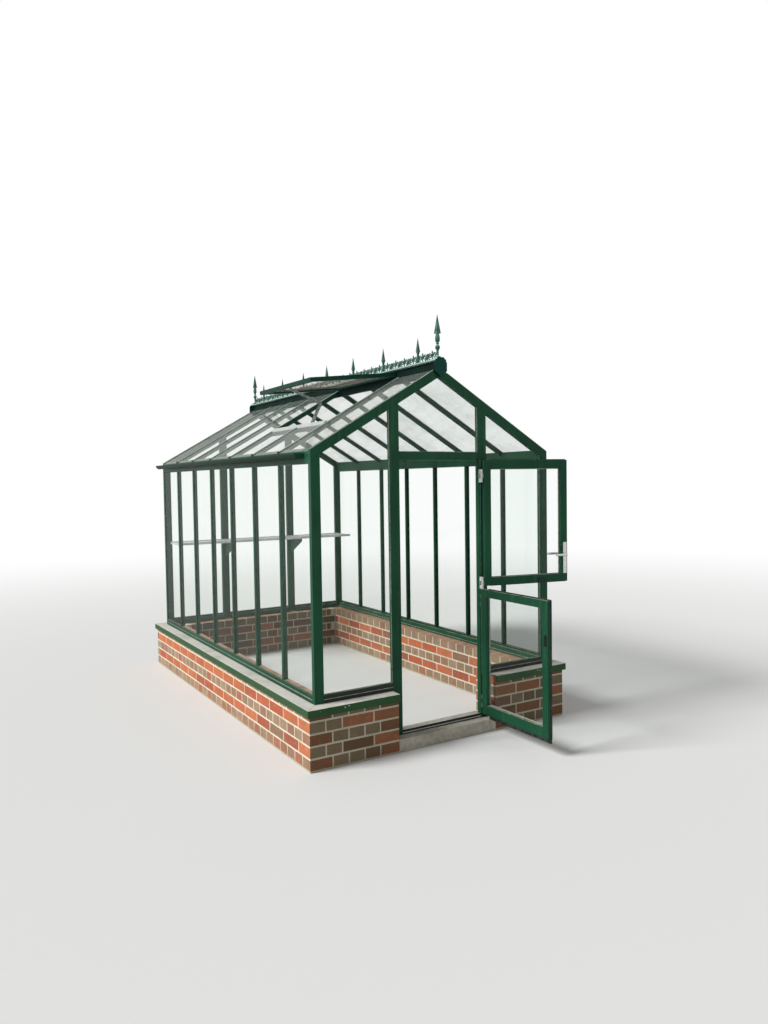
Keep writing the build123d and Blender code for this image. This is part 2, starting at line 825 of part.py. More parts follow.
def leaf_hinge(z):
    """Moving half: the middle barrel and its wing on the edge of the leaf."""
    middle = (z - third / 2 + knuckle_gap, z + third / 2 - knuckle_gap)
    wing = block((leaf_right + seat / 2, pin_x), (pin_y - hinge_web_half, pin_y + hinge_web_half), middle)
    wing += knuckle(z, leaf_knuckle_radius, middle[1] - middle[0])
    return wing - knuckle(z, hinge_pin_radius + pin_clearance, hinge_height)


for name, (low, high, foot_rail, head_rail) in leaves.items():
    angle = open_angle[name]
    frame = leaf_frame(low, high, foot_rail, head_rail)
    if name == "upper_leaf":
        spindle_x = leaf_left + handle_edge
        hole = Pos(spindle_x, (leaf_out + leaf_in) / 2, lever_height) * Rot(90, 0, 0) * Cylinder(
            lever_radius + spindle_clearance, 2 * leaf_thickness
        )
        frame[0] -= hole
    save(f"{name}_frame", [swung(piece, angle) for piece in frame])
    save(f"{name}_glass", swung(leaf_glass(low, high, foot_rail, head_rail), angle))
    save(f"{name}_seals", [swung(strip, angle) for strip in leaf_seals(low, high, *seal_reach[name])])
    save(f"{name}_hinges", [swung(leaf_hinge(z), angle) for z in hinge_place[name]])
    post_hinges.extend(post_hinge(z) for z in hinge_place[name])
save("post_hinges", post_hinges)

# The hinge post gives way to the hinge plates
for z in (*hinge_place["lower_leaf"], *hinge_place["upper_leaf"]):
    hinge_post -= block(
        (post_inner, pin_x + hinge_plate_width + seat), (front - pin_out, front),
        (z - hinge_height / 2 - seat, z + hinge_height / 2 + seat),
    )
save("door_posts", [door_post, hinge_post])

# Handle plates on both faces of the upper leaf
plate_x = (spindle_x - handle_plate_width / 2, spindle_x + handle_plate_width / 2)
plate_low = lever_height - handle_plate_drop
plate_z = (plate_low, plate_low + handle_plate_height)
plate_in = block(plate_x, (leaf_in, leaf_in + handle_plate_thick), plate_z)
plate_out = block(plate_x, (leaf_out - handle_plate_thick, leaf_out), plate_z)
save("handle_plates", [swung(plate - hole, upper_open_angle) for plate in (plate_in, plate_out)])

# Lever handles on one spindle
spindle_low = leaf_out - lever_stand
spindle_high = leaf_in + lever_stand
spindle = Rot(90, 0, 0) * Cylinder(lever_radius, spindle_high - spindle_low)
grip = Rot(0, 90, 0) * Cylinder(lever_radius, lever_length + 2 * lever_radius)
lever = Pos(spindle_x, (spindle_low + spindle_high) / 2, lever_height) * spindle
for y in (spindle_low, spindle_high):
    lever += Pos(spindle_x + lever_length / 2, y, lever_height) * grip
save("lever_handles", swung(lever, upper_open_angle))

# Slide latch on the free stile of the lower leaf
latch_x = leaf_left + latch_edge
latch = block(
    (latch_x - latch_width / 2, latch_x + latch_width / 2), (leaf_in, leaf_in + latch_thick),
    (latch_height - latch_tall / 2, latch_height + latch_tall / 2),
)
save("lower_latch", swung(latch, lower_open_angle))

# Slide bolt on the inner face of the upper leaf's foot rail
bolt_x = leaf_right + hinge_edge - bolt_place
bolt_z = upper_low + upper_foot_rail / 2 - bolt_height / 2
bolt = block(
    (bolt_x - bolt_length / 2, bolt_x + bolt_length / 2), (leaf_in, leaf_in + bolt_thick),
    (bolt_z - bolt_height / 2, bolt_z + bolt_height / 2),
)
bolt += Pos(bolt_x, leaf_in + bolt_thick / 2, bolt_z) * Rot(0, 90, 0) * Cylinder(bolt_rod, bolt_rod_length)
save("upper_leaf_bolt", swung(bolt, upper_open_angle))
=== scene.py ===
import json
from math import cos, pi, radians, sin, tan

import bmesh
import bpy
from mathutils import Matrix, Vector


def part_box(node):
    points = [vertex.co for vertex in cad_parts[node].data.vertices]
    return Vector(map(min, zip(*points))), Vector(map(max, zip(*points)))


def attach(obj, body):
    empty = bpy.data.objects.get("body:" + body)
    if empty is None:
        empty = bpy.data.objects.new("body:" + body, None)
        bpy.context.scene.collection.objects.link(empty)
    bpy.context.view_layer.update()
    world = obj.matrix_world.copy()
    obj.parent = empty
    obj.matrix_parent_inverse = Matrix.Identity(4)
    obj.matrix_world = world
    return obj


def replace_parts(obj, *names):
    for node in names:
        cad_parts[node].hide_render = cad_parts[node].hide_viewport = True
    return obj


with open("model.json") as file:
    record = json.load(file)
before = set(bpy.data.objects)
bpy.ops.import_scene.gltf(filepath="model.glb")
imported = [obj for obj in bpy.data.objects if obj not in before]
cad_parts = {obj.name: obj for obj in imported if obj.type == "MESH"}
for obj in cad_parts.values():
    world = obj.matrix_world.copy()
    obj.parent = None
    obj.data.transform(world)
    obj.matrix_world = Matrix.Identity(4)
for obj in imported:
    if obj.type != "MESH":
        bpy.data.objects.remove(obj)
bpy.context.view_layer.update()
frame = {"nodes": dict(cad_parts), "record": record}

# View of the house from before its left front corner, at eye height, through a
# wide lens held nearly level.
eye = Vector((-3.283, -6.046, 1.930))
turn, dip, lean = radians(31.37), radians(2.34), radians(-0.85)
ahead = Vector((sin(turn) * cos(dip), cos(turn) * cos(dip), -sin(dip)))
level = Vector((cos(turn), -sin(turn), 0))
upright = level.cross(ahead)
across = cos(lean) * level + sin(lean) * upright
top = cos(lean) * upright - sin(lean) * level
lens = bpy.data.cameras.new("eye_height")
lens.sensor_width = 36
lens.lens = 26.705
lens.clip_end = 400
camera = bpy.data.objects.new("camera", lens)
camera.matrix_world = Matrix.Translation(eye) @ Matrix((across, top, -ahead)).transposed().to_4x4()
bpy.context.scene.collection.objects.link(camera)
bpy.context.scene.camera = camera
bpy.context.scene.view_settings.view_transform = "Standard"


# Studio: a pale floor that runs out to white, a white sky, and one broad sun from
# the left, which stands a little behind the door gable and so leaves that in shade.
class Wire:
    """One output in a node tree. Sums on it add Math nodes, and node() adds any other."""

    def __init__(self, tree, socket=None):
        self.tree = tree
        self.socket = socket

    def node(self, kind, settings, values, output=0):
        """A new node in the same tree: its settings first, then its sockets."""
        made = self.tree.nodes.new(kind)
        for name, setting in settings.items():
            if name == "stops":
                while len(made.color_ramp.elements) < len(setting):
                    made.color_ramp.elements.new(1)
                for stop, (place, colour) in zip(made.color_ramp.elements, setting):
                    stop.position = place
                    stop.color = (*colour, 1)
            else:
                setattr(made, name, setting)
        feed(made, values)
        return Wire(self.tree, made.outputs[output])

    def sum(self, operation, *terms):
        return self.node("ShaderNodeMath", {"operation": operation}, dict(enumerate(terms)))

    def __add__(self, other):
        return self.sum("ADD", self, other)

    def __sub__(self, other):
        return self.sum("SUBTRACT", self, other)

    def __rsub__(self, other):
        return self.sum("SUBTRACT", other, self)

    def __mul__(self, other):
        return self.sum("MULTIPLY", self, other)

    def __abs__(self):
        return self.sum("ABSOLUTE", self)

    __radd__ = __add__
    __rmul__ = __mul__

    def between(self, low, high):
        """0 below low, 1 above high and smooth between them."""
        limits = {"Value": self, "From Min": low, "From Max": high}
        return self.node("ShaderNodeMapRange", {"interpolation_type": "SMOOTHSTEP"}, limits)

    def blend(self, first, second):
        """Colour that goes from the first to the second as this mask goes from 0 to 1."""
        return self.node("ShaderNodeMix", {"data_type": "RGBA"}, {0: self, 6: first, 7: second}, 2)

    def cloud(self, scale, detail=2.0):
        """Soft noise laid on this place."""
        return self.node("ShaderNodeTexNoise", {}, {"Vector": self, "Scale": scale, "Detail": detail})

    def stretched(self, x, y, z):
        """This place drawn out, so that noise on it runs in streaks."""
        return self.node("ShaderNodeVectorMath", {"operation": "MULTIPLY"}, {0: self, 1: (x, y, z)})

    def axis(self, index):
        return self.node("ShaderNodeSeparateXYZ", {}, {"Vector": self}, index)

    def facing(self, index):
        """How far the surface looks along an axis."""
        return self.node("ShaderNodeNewGeometry", {}, {}, "Normal").axis(index)

    def bump(self, height, strength, distance):
        return self.node("ShaderNodeBump", {}, {"Height": height, "Strength": strength, "Distance": distance})


def feed(node, values):
    """Sets a node's inputs, each to a value or to what a wire brings."""
    for name, value in values.items():
        if isinstance(value, Wire):
            value.tree.links.new(value.socket, node.inputs[name])
        else:
            node.inputs[name].default_value = value


def new_finish(name):
    """A new material with its shader, and the Object coordinates its pattern lies on."""
    material = bpy.data.materials.new(name)
    material.use_nodes = True
    shader = material.node_tree.nodes["Principled BSDF"]
    place = Wire(material.node_tree).node("ShaderNodeTexCoord", {}, {}, "Object")
    return material, shader, place


def show(tree_owner, wire):
    """Makes a wire's shader the one that a material or the sky shows."""
    tree = tree_owner.node_tree
    output = next(node for node in tree.nodes if node.type.startswith("OUTPUT"))
    tree.links.new(wire.socket, output.inputs["Surface"])


def seen(wire):
    """1 for rays that look at the surface straight, in a mirror or through glass."""
    rays = ("Is Camera Ray", "Is Glossy Ray", "Is Transmission Ray")
    flags = [wire.node("ShaderNodeLightPath", {}, {}, ray) for ray in rays]
    return flags[0].sum("MAXIMUM", flags[0].sum("MAXIMUM", flags[0], flags[1]), flags[2])


sky_light, sun_light, sun_spread = 0.36, 3.1, 0.35
sun_way = Vector((0.85, -0.15, -0.64))
sky = bpy.data.worlds.new("white_sky")
sky.use_nodes = True
bpy.context.scene.world = sky
start = Wire(sky.node_tree)
strength = sky_light + seen(start) * (1 - sky_light)
show(sky, start.node("ShaderNodeBackground", {}, {"Color": (1, 1, 1, 1), "Strength": strength}, 0))
lamp = bpy.data.lights.new("sun", "SUN")
lamp.energy = sun_light
lamp.angle = sun_spread
holder = bpy.data.objects.new("sun", lamp)
holder.rotation_euler = sun_way.to_track_quat("-Z", "Y").to_euler()
holder.visible_glossy = False
bpy.context.scene.collection.objects.link(holder)

floor_reach, floor_drop, fade_from, fade_to = 150.0, 0.0015, 3.5, 16.0
square = ((-1, -1), (1, -1), (1, 1), (-1, 1))
floor_mesh = bpy.data.meshes.new("floor")
floor_corners = [(x * floor_reach, y * floor_reach, -floor_drop) for x, y in square]
floor_mesh.from_pydata(floor_corners, [], [(0, 1, 2, 3)])
floor = bpy.data.objects.new("floor", floor_mesh)
bpy.context.scene.collection.objects.link(floor)
floor_paint, shader, place = new_finish("pale_floor")
feed(shader, {"Base Color": (0.80, 0.80, 0.79, 1), "Roughness": 0.9, "Specular IOR Level": 0.1})
away = place.node("ShaderNodeVectorMath", {"operation": "LENGTH"}, {0: place}, "Value")
white = place.node("ShaderNodeEmission", {}, {"Color": (1, 1, 1, 1), "Strength": 1})
matt = Wire(floor_paint.node_tree, shader.outputs[0])
fade = away.between(fade_from, fade_to) * seen(place)
show(floor_paint, place.node("ShaderNodeMixShader", {}, {0: fade, 1: matt, 2: white}))
floor_mesh.materials.append(floor_paint)


# Plinth: hard-fired clay bricks in English bond, one brick thick. Their long faces are
# burnt orange-red and their ends brown; they are pointed flush with cream lime mortar.
brick_long, brick_wide, brick_high = 0.24, 0.115, 0.071
joint, joint_depth = 0.010, 0.0012
arris = 0.0022
bat = 0.166
course_count = 5
step_gap = 0.0003
plinth_low, plinth_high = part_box("plinth_left")
course = (plinth_high.z - plinth_low.z) / course_count
outer_x, outer_front, outer_back = -plinth_low.x, plinth_low.y, plinth_high.y
step_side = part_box("door_step")[1].x + step_gap


def new_recipe(name, sizes):
    """Geometry Nodes tree that takes a mesh and named sizes, with a wire from each."""
    tree = bpy.data.node_groups.new(name, "GeometryNodeTree")
    for size, kind in {"Geometry": "NodeSocketGeometry", **sizes}.items():
        tree.interface.new_socket(size, in_out="INPUT", socket_type=kind)
    tree.interface.new_socket("Geometry", in_out="OUTPUT", socket_type="NodeSocketGeometry")
    given = tree.nodes.new("NodeGroupInput")
    return {size: Wire(tree, given.outputs[size]) for size in ("Geometry", *sizes)}


def noted(wire, name):
    """What was noted under a name at each point or face."""
    return wire.node("GeometryNodeInputNamedAttribute", {"data_type": "FLOAT_VECTOR"}, {"Name": name})


def placed(wires, shape):
    """Sets a shape on each point, at the size and turn noted there, and makes it real."""
    extent, aim = noted(shape, "size"), noted(shape, "turn")
    limits = {0: (-1, -1, -1), 1: (1, 1, 1), "Seed": wires["Seed"]}
    sway = shape.node("FunctionNodeRandomValue", {"data_type": "FLOAT_VECTOR"}, limits)
    sway = sway.node("ShaderNodeVectorMath", {"operation": "SCALE"}, {0: sway, "Scale": wires["Slip"]})
    sway = sway.node("ShaderNodeVectorMath", {"operation": "ADD"}, {0: sway, 1: aim})
    points = {"Points": wires["Geometry"], "Instance": shape, "Rotation": sway, "Scale": extent}
    laid = shape.node("GeometryNodeInstanceOnPoints", {}, points)
    share = {2: 0.0, 3: 1.0, "Seed": wires["Seed"]}
    chance = shape.node("FunctionNodeRandomValue", {"data_type": "FLOAT"}, share, 1)
    note = {"Geometry": laid, "Name": "tint", "Value": chance}
    laid = laid.node("GeometryNodeStoreNamedAttribute", {"data_type": "FLOAT", "domain": "INSTANCE"}, note)
    return laid.node("GeometryNodeRealizeInstances", {}, {"Geometry": laid})


def serve(geometry, material):
    """Ends a recipe: what it made takes its material."""
    dressed = geometry.node("GeometryNodeSetMaterial", {}, {"Geometry": geometry, "Material": material})
    output = geometry.tree.nodes.new("NodeGroupOutput")
    geometry.tree.links.new(dressed.socket, output.inputs[0])
    return geometry.tree


def add_piece(name, mesh, body):
    """An object at the origin that rides a body and takes its finish from a slot."""
    piece = bpy.data.objects.new(name, mesh)
    bpy.context.scene.collection.objects.link(piece)
    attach(piece, body)
    return piece


def cook(name, recipe, mesh, sizes, body):
    """Runs a recipe on a mesh of points and keeps the result as a plain piece."""
    raw = bpy.data.objects.new("raw", mesh)
    bpy.context.scene.collection.objects.link(raw)
    modifier = raw.modifiers.new("recipe", "NODES")
    modifier.node_group = recipe
    for socket in recipe.interface.items_tree:
        if socket.in_out == "INPUT" and socket.name in sizes:
            modifier[socket.identifier] = sizes[socket.name]
    graph = bpy.context.evaluated_depsgraph_get()
    made = bpy.data.meshes.new_from_object(raw.evaluated_get(graph), depsgraph=graph)
    bpy.data.objects.remove(raw)
    return add_piece(name, made, body)


def point_mesh(places, sizes, turns):
    """Points with a size and a turn noted at each."""
    mesh = bpy.data.meshes.new("points")
    mesh.from_pydata([tuple(place) for place in places], [], [])
    for note, values in (("size", sizes), ("turn", turns)):
        kept = mesh.attributes.new(note, "FLOAT_VECTOR", "POINT")
        for item, value in zip(kept.data, values):
            item.vector = value
    return mesh


brick_places, brick_sizes = [], []


def lay(corner, along, inward, row, reach, size, near, far):
    """One brick of a course, given by its reach along the wall and its depth into it."""
    middle = corner + along * (reach + size / 2) + inward * (near + far) / 2
    middle.z = (row + 1) * course - brick_high / 2
    extent = along * size + inward * (far - near)
    brick_places.append(middle)
    brick_sizes.append((abs(extent.x), abs(extent.y), brick_high))


def lay_course(corner, along, inward, row, begin, end, first, leaves):
    """A course of a wall between two reaches, its last brick cut to what is left."""
    wide = brick_wide if row % 2 == 0 else brick_long
    reach = begin
    while reach < end - joint:
        size = first if reach == begin else wide
        if end - reach - size < brick_wide / 2:
            size = end - reach
        for near, far in leaves:
            lay(corner, along, inward, row, reach, size, near, far)
        reach += size + joint


side_run = outer_back - outer_front
front_run = outer_x - step_side
back_run = 2 * outer_x
along_x, along_y = Vector((1, 0, 0)), Vector((0, 1, 0))
whole = ((0, brick_long),)
two_leaves = ((0, brick_wide), (brick_wide + joint, brick_long))
past_corner = brick_long + joint
past_bat = bat + brick_wide + 2 * joint
for row in range(course_count):
    headers = row % 2 == 0
    for side in (-1, 1):
        corner, inward = Vector((side * outer_x, outer_front, 0)), -side * along_x
        if headers:
            end = side_run - brick_wide - joint
            lay(corner, along_y, inward, row, 0, brick_wide, 0, bat)
            lay(corner, along_y, inward, row, end + joint, brick_wide, 0, bat)
            lay_course(corner, along_y, inward, row, brick_wide + joint, end, brick_wide, whole)
            lay(corner, inward, along_y, row, bat + joint, brick_wide, 0, brick_wide)
            lay_course(corner, inward, along_y, row, past_bat, front_run, brick_wide, whole)
        else:
            lay_course(corner, along_y, inward, row, 0, side_run, bat + joint, two_leaves)
            lay_course(corner, inward, along_y, row, past_corner, front_run, brick_long, two_leaves)
    if headers:
        for side in (-1, 1):
            corner = Vector((side * outer_x, outer_back, 0))
            lay(corner, -side * along_x, -along_y, row, bat + joint, brick_wide, 0, brick_wide)
    begin, first, leaves = (past_bat, brick_wide, whole) if headers else (past_corner, brick_long, two_leaves)
    corner = Vector((-outer_x, outer_back, 0))
    lay_course(corner, along_x, -along_y, row, begin, back_run - begin, first, leaves)

brick_paint, shader, place = new_finish("fired_brick")
tint = place.node("ShaderNodeAttribute", {"attribute_name": "tint"}, {}, "Fac")
face_long = place.node("ShaderNodeAttribute", {"attribute_name": "face_long"}, {}, "Fac")
red_stops = [(0.0, (0.50, 0.150, 0.070)), (0.35, (0.58, 0.185, 0.085)), (0.7, (0.46, 0.115, 0.060)),
             (0.88, (0.36, 0.105, 0.065)), (1.0, (0.27, 0.17, 0.11))]
brown_stops = [(0.0, (0.30, 0.20, 0.125)), (0.4, (0.37, 0.27, 0.18)), (0.7, (0.33, 0.19, 0.12)),
               (0.85, (0.40, 0.15, 0.085)), (1.0, (0.26, 0.20, 0.15))]
red = tint.node("ShaderNodeValToRGB", {"stops": red_stops}, {"Fac": tint})
brown = tint.node("ShaderNodeValToRGB", {"stops": brown_stops}, {"Fac": tint})
bed = place.facing(2).between(0.4, 0.8)
fired = face_long.between(0.13, 0.14).blend(brown, red)
fired = bed.blend(fired, (0.52, 0.30, 0.20, 1))
smoke = place.cloud(9, 4).between(0.42, 0.70)
fired = (smoke * 0.38).blend(fired, (0.20, 0.14, 0.085, 1))
bloom = place.cloud(38, 5).between(0.56, 0.75) * 0.30
fired = bloom.blend(fired, (0.62, 0.48, 0.37, 1))
# Front faces painted darker olive brown: painted shade.
front_painted_shade = place.facing(1).between(-0.7, -0.9)
fired = (front_painted_shade * (0.50 + 0.32 * tint)).blend(fired, (0.060, 0.058, 0.030, 1))
height = place.cloud(260, 3) * 0.5 + place.cloud(60, 4)
feed(shader, {"Base Color": fired, "Roughness": 0.9, "Specular IOR Level": 0.2})
feed(shader, {"Normal": place.bump(height, 0.55, 0.0015)})

recipe_sizes = {"Slip": "NodeSocketFloat", "Seed": "NodeSocketInt", "Finish": "NodeSocketMaterial"}
wires = new_recipe("laid_bricks", recipe_sizes)
laid = placed(wires, wires["Geometry"].node("GeometryNodeMeshCube", {}, {"Size": (1, 1, 1)}))
looks = laid.node("GeometryNodeInputNormal", {}, {})
extent = noted(laid, "size")
shown = abs(looks.axis(0)) * extent.axis(1) + abs(looks.axis(1)) * extent.axis(0)
note = {"Geometry": laid, "Name": "face_long", "Value": shown}
laid = laid.node("GeometryNodeStoreNamedAttribute", {"data_type": "FLOAT", "domain": "FACE"}, note)
brick_recipe = serve(laid, wires["Finish"])
brick_points = point_mesh(brick_places, brick_sizes, [(0, 0, 0)] * len(brick_places))
laying = {"Slip": 0.003, "Seed": 11, "Finish": brick_paint}
bricks = cook("plinth_bricks", brick_recipe, brick_points, laying, "house")
worn = bricks.modifiers.new("worn_arrises", "BEVEL")
worn.width = arris
worn.segments = 2
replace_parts(bricks, "plinth_left", "plinth_right", "plinth_back", "plinth_front")


def mesh_from(shell, name, *finishes):
    """Turns a finished shell into a mesh with its material."""
    mesh = bpy.data.meshes.new(name)
    shell.to_mesh(mesh)
    shell.free()
    for finish in finishes:
        mesh.materials.append(finish)
    return mesh


def box_mesh(name, boxes, finish, body, place=Matrix()):
    """One piece of separate boxes, each given by its two ends along X, Y and Z."""
    shell = bmesh.new()
    for ends in boxes:
        low, high = (Vector(corner) for corner in zip(*map(sorted, ends)))
        spread = Matrix.Translation((low + high) / 2) @ Matrix.Diagonal((*(high - low), 1))
        bmesh.ops.create_cube(shell, size=1, matrix=place @ spread)
    return add_piece(name, mesh_from(shell, name, finish), body)


mortar_paint, shader, place = new_finish("lime_mortar")
stain = place.cloud(7, 5).between(0.35, 0.75)
sandy = stain.blend((0.78, 0.70, 0.56, 1), (0.60, 0.53, 0.41, 1))
foot_damp = 1 - place.axis(2).between(0.0, 0.09)
sandy = (foot_damp * 0.5).blend(sandy, (0.24, 0.21, 0.13, 1))
# Front faces of the joints painted darker too: painted shade.
sandy = (place.facing(1).between(-0.7, -0.9) * 0.55).blend(sandy, (0.26, 0.27, 0.20, 1))
feed(shader, {"Base Color": sandy, "Roughness": 0.95, "Specular IOR Level": 0.15})
feed(shader, {"Normal": place.bump(place.cloud(420, 3), 0.5, 0.001)})
inset, depth = joint_depth, brick_long - joint_depth
inner_x = outer_x - depth
beds = (0, course * course_count - joint_depth)
front_wall = (outer_front + inset, outer_front + depth)
mortar = []
for side in (-1, 1):
    side_wall = (side * (outer_x - inset), side * inner_x)
    mortar.append((side_wall, (outer_front + inset, outer_back - inset), beds))
    mortar.append(((side * inner_x, side * (step_side + inset)), front_wall, beds))
mortar.append(((-inner_x, inner_x), (outer_back - depth, outer_back - inset), beds))
box_mesh("plinth_mortar", mortar, mortar_paint, "house")


# Coping: sheet metal coated dark green, laid from the rails out over the top course.
# Its flat top has chalked and gathered dust; its drip edge is chipped here and there.
nodes = frame["nodes"]
sheet_wide = 0.14
seam_middle, seam_away = 0.33, 0.91


def soften(name, width, finish, body="house"):
    """Replaces a node by its own shape with the long arrises rounded."""
    weld, flat_turn, arris_turn, short = 0.00002, radians(1), radians(20), 6 * width
    shell = bmesh.new()
    shell.from_mesh(nodes[name].data)
    bmesh.ops.remove_doubles(shell, verts=shell.verts, dist=weld)
    bmesh.ops.dissolve_limit(shell, angle_limit=flat_turn, verts=shell.verts, edges=shell.edges)
    folds = [edge for edge in shell.edges if len(edge.link_faces) == 2]
    arrises = [edge for edge in folds if edge.calc_face_angle() > arris_turn and edge.calc_length() > short]
    bmesh.ops.bevel(shell, geom=arrises, offset=width, segments=2, profile=0.5, affect="EDGES")
    rounded = name + "_rounded"
    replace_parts(add_piece(rounded, mesh_from(shell, rounded, finish), body), name)


coping_low, coping_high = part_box("coping")
coping_paint, shader, place = new_finish("weathered_coping")
flat = place.facing(2).between(0.6, 0.9)
dust = place.cloud(5, 6).between(0.30, 0.55)
spots = place.cloud(90, 3).between(0.62, 0.74)
green = place.cloud(3, 3).blend((0.018, 0.062, 0.022, 1), (0.034, 0.096, 0.036, 1))
chalk = place.cloud(24, 5).blend((0.80, 0.77, 0.71, 1), (0.57, 0.56, 0.50, 1))
chalk = (spots * 0.7).blend(chalk, (0.20, 0.20, 0.15, 1))
layer = flat * (0.80 + 0.20 * dust)
chips = place.cloud(70, 2).between(0.745, 0.765) * (1 - flat)
colour = chips.blend(layer.blend(green, chalk), (0.60, 0.58, 0.50, 1))
from_side = coping_high.x - abs(place.axis(0))
from_gable = (coping_high.y - coping_low.y) / 2 - abs(place.axis(1) - (coping_high.y + coping_low.y) / 2)
on_sheet = 1 - from_side.between(sheet_wide, sheet_wide + 0.01)
mitre = (1 - abs(from_side - from_gable).between(0.0008, 0.0022)) * on_sheet
seam_gap = abs(abs(place.axis(1) - seam_middle) - seam_away).between(0.0006, 0.0020)
seam = (1 - seam_gap) * on_sheet
colour = (mitre.sum("MAXIMUM", mitre, seam) * 0.85).blend(colour, (0.03, 0.035, 0.03, 1))
feed(shader, {"Base Color": colour, "Roughness": 0.5 + 0.4 * layer, "Specular IOR Level": 0.12})
soften("coping", 0.0016, coping_paint)


# Screws: small zinc plated dome heads, each set on the face that it holds and turned to
# it. Two pairs pin the coping's front drip edge; others hold the hinges and the plates.
screw_radius = 0.0042
front_turn = (pi / 2, 0, 0)
wires = new_recipe("set_screws", recipe_sizes)
dome = {"Vertices": 12, "Side Segments": 1, "Fill Segments": 1, "Depth": 0.55}
dome.update({"Radius Top": 0.6, "Radius Bottom": 1.0})
screw_recipe = serve(placed(wires, wires["Geometry"].node("GeometryNodeMeshCone", {}, dome)), wires["Finish"])


def worn_finish(name, fresh, worn, patches, roughness, rougher=0.0, metal=0.0, specular=0.5):
    """A finish of two shades, the second in soft patches, which may be rougher too."""
    material, shader, place = new_finish(name)
    scale, detail, low, high = patches
    wear = place.cloud(scale, detail).between(low, high)
    shade = wear.blend((*fresh, 1), (*worn, 1))
    rough = roughness + rougher * wear if rougher else roughness
    feed(shader, {"Base Color": shade, "Roughness": rough, "Metallic": metal, "Specular IOR Level": specular})
    return material


screw_paint = worn_finish("zinc_screws", (0.78, 0.78, 0.76), (0.50, 0.50, 0.47), (300, 2, 0.4, 0.7),
                          0.35, 0.2, metal=0.6)


def set_screws(name, places, turn_to, body):
    """Screw heads on a face that looks one way."""
    count = len(places)
    points = point_mesh(places, [(screw_radius,) * 3] * count, [turn_to] * count)
    setting = {"Slip": 0.05, "Seed": 5, "Finish": screw_paint}
    return cook(name, screw_recipe, points, setting, body)


fascia_z = coping_low.z + 0.034
pair = ((0.882, 0.0), (0.852, 0.006))
fascia_heads = [(side * x, coping_low.y, fascia_z + rise) for side in (-1, 1) for x, rise in pair]
set_screws("fascia_screws_front", fascia_heads, front_turn, "house")


# Doorway: a cast concrete step between the brick jambs, and a black faced sill with a
# bare aluminium strip along the front of its top and another set in its front face.
step_paint, shader, place = new_finish("cast_concrete")
concrete = place.cloud(30, 6).between(0.3, 0.7).blend((0.52, 0.48, 0.41, 1), (0.38, 0.355, 0.30, 1))
concrete = (place.cloud(4, 4).between(0.45, 0.7) * 0.5).blend(concrete, (0.19, 0.17, 0.12, 1))
feed(shader, {"Base Color": concrete, "Roughness": 0.92, "Specular IOR Level": 0.2})
feed(shader, {"Normal": place.bump(place.cloud(190, 4), 0.4, 0.001)})
soften("door_step", 0.004, step_paint)

black_paint = worn_finish("black_plastic", (0.010, 0.011, 0.010), (0.045, 0.045, 0.042),
                          (140, 4, 0.5, 0.75), 0.42, 0.25, specular=0.3)
mill_paint = worn_finish("mill_aluminium", (0.62, 0.63, 0.62), (0.44, 0.45, 0.44), (12, 5, 0.35, 0.7),
                         0.42, 0.2, metal=0.55)


def dress(material, *names):
    """Gives a CAD node's object its finish."""
    for name in names:
        nodes[name].data.materials.clear()
        nodes[name].data.materials.append(material)


dress(black_paint, "door_sill")
sill_low, sill_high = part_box("door_sill")
tread = ((sill_low.y + 0.004, sill_low.y + 0.013), (sill_high.z, sill_high.z + 0.0025))
nosing = ((sill_low.y - 0.0022, sill_low.y), (sill_low.z + 0.010, sill_low.z + 0.016))
sill_strips = [((sill_low.x, sill_high.x), *ends) for ends in (tread, nosing)]
box_mesh("sill_tread_strips", sill_strips, mill_paint, "house")


# Frame: extruded aluminium posts, rails, rafters and beams with a moss green powder
# coat, satin, dusty where it faces up, rain-streaked down its faces.
frame_radius = 0.0015
frame_paint, shader, place = new_finish("moss_green_coat")
upward = place.facing(2).between(0.5, 0.95)
faded = place.cloud(2.2, 4).between(0.35, 0.7)
coat = faded.blend((0.008, 0.056, 0.027, 1), (0.013, 0.080, 0.038, 1))
streak = place.stretched(26, 26, 1.6).cloud(1.0, 4).between(0.52, 0.78) * 0.22
coat = streak.blend(coat, (0.10, 0.17, 0.115, 1))
film = upward * place.cloud(14, 5).between(0.30, 0.60)
settled = place.axis(2).between(0.55, 0.60).blend((0.46, 0.39, 0.31, 1), (0.27, 0.33, 0.27, 1))
coat = (film * 0.62).blend(coat, settled)
fleck = place.cloud(160, 2).between(0.71, 0.77) * 0.5
coat = fleck.blend(coat, (0.20, 0.24, 0.19, 1))
feed(shader, {"Base Color": coat, "Roughness": 0.40 + 0.3 * film, "Specular IOR Level": 0.10})
feed(shader, {"Normal": place.bump(place.cloud(900, 2), 0.12, 0.0004)})
for name in ("base_rails_sides", "base_rails_gables", "corner_posts", "door_posts", "back_mullions",
             "door_transom", "gable_rafters", "eave_beams"):
    soften(name, frame_radius, frame_paint)
dress(frame_paint, "wall_bars")


# Gutters: open aluminium channels hooked on the eave beams, coated like the frame but
# washed clean by the rain, with painted deep shade on their undersides.
gutter_paint, shader, place = new_finish("gutter_coat")
# Faces that look down are painted near black: painted shade.
underside_shade = place.facing(2).between(0.15, -0.35)
gutter_coat_and_shade = place.cloud(3, 4).blend((0.010, 0.066, 0.036, 1), (0.016, 0.090, 0.052, 1))
gutter_coat_and_shade = underside_shade.blend(gutter_coat_and_shade, (0.003, 0.016, 0.009, 1))
feed(shader, {"Base Color": gutter_coat_and_shade, "Roughness": 0.45, "Specular IOR Level": 0.08})
dress(gutter_paint, "gutters")
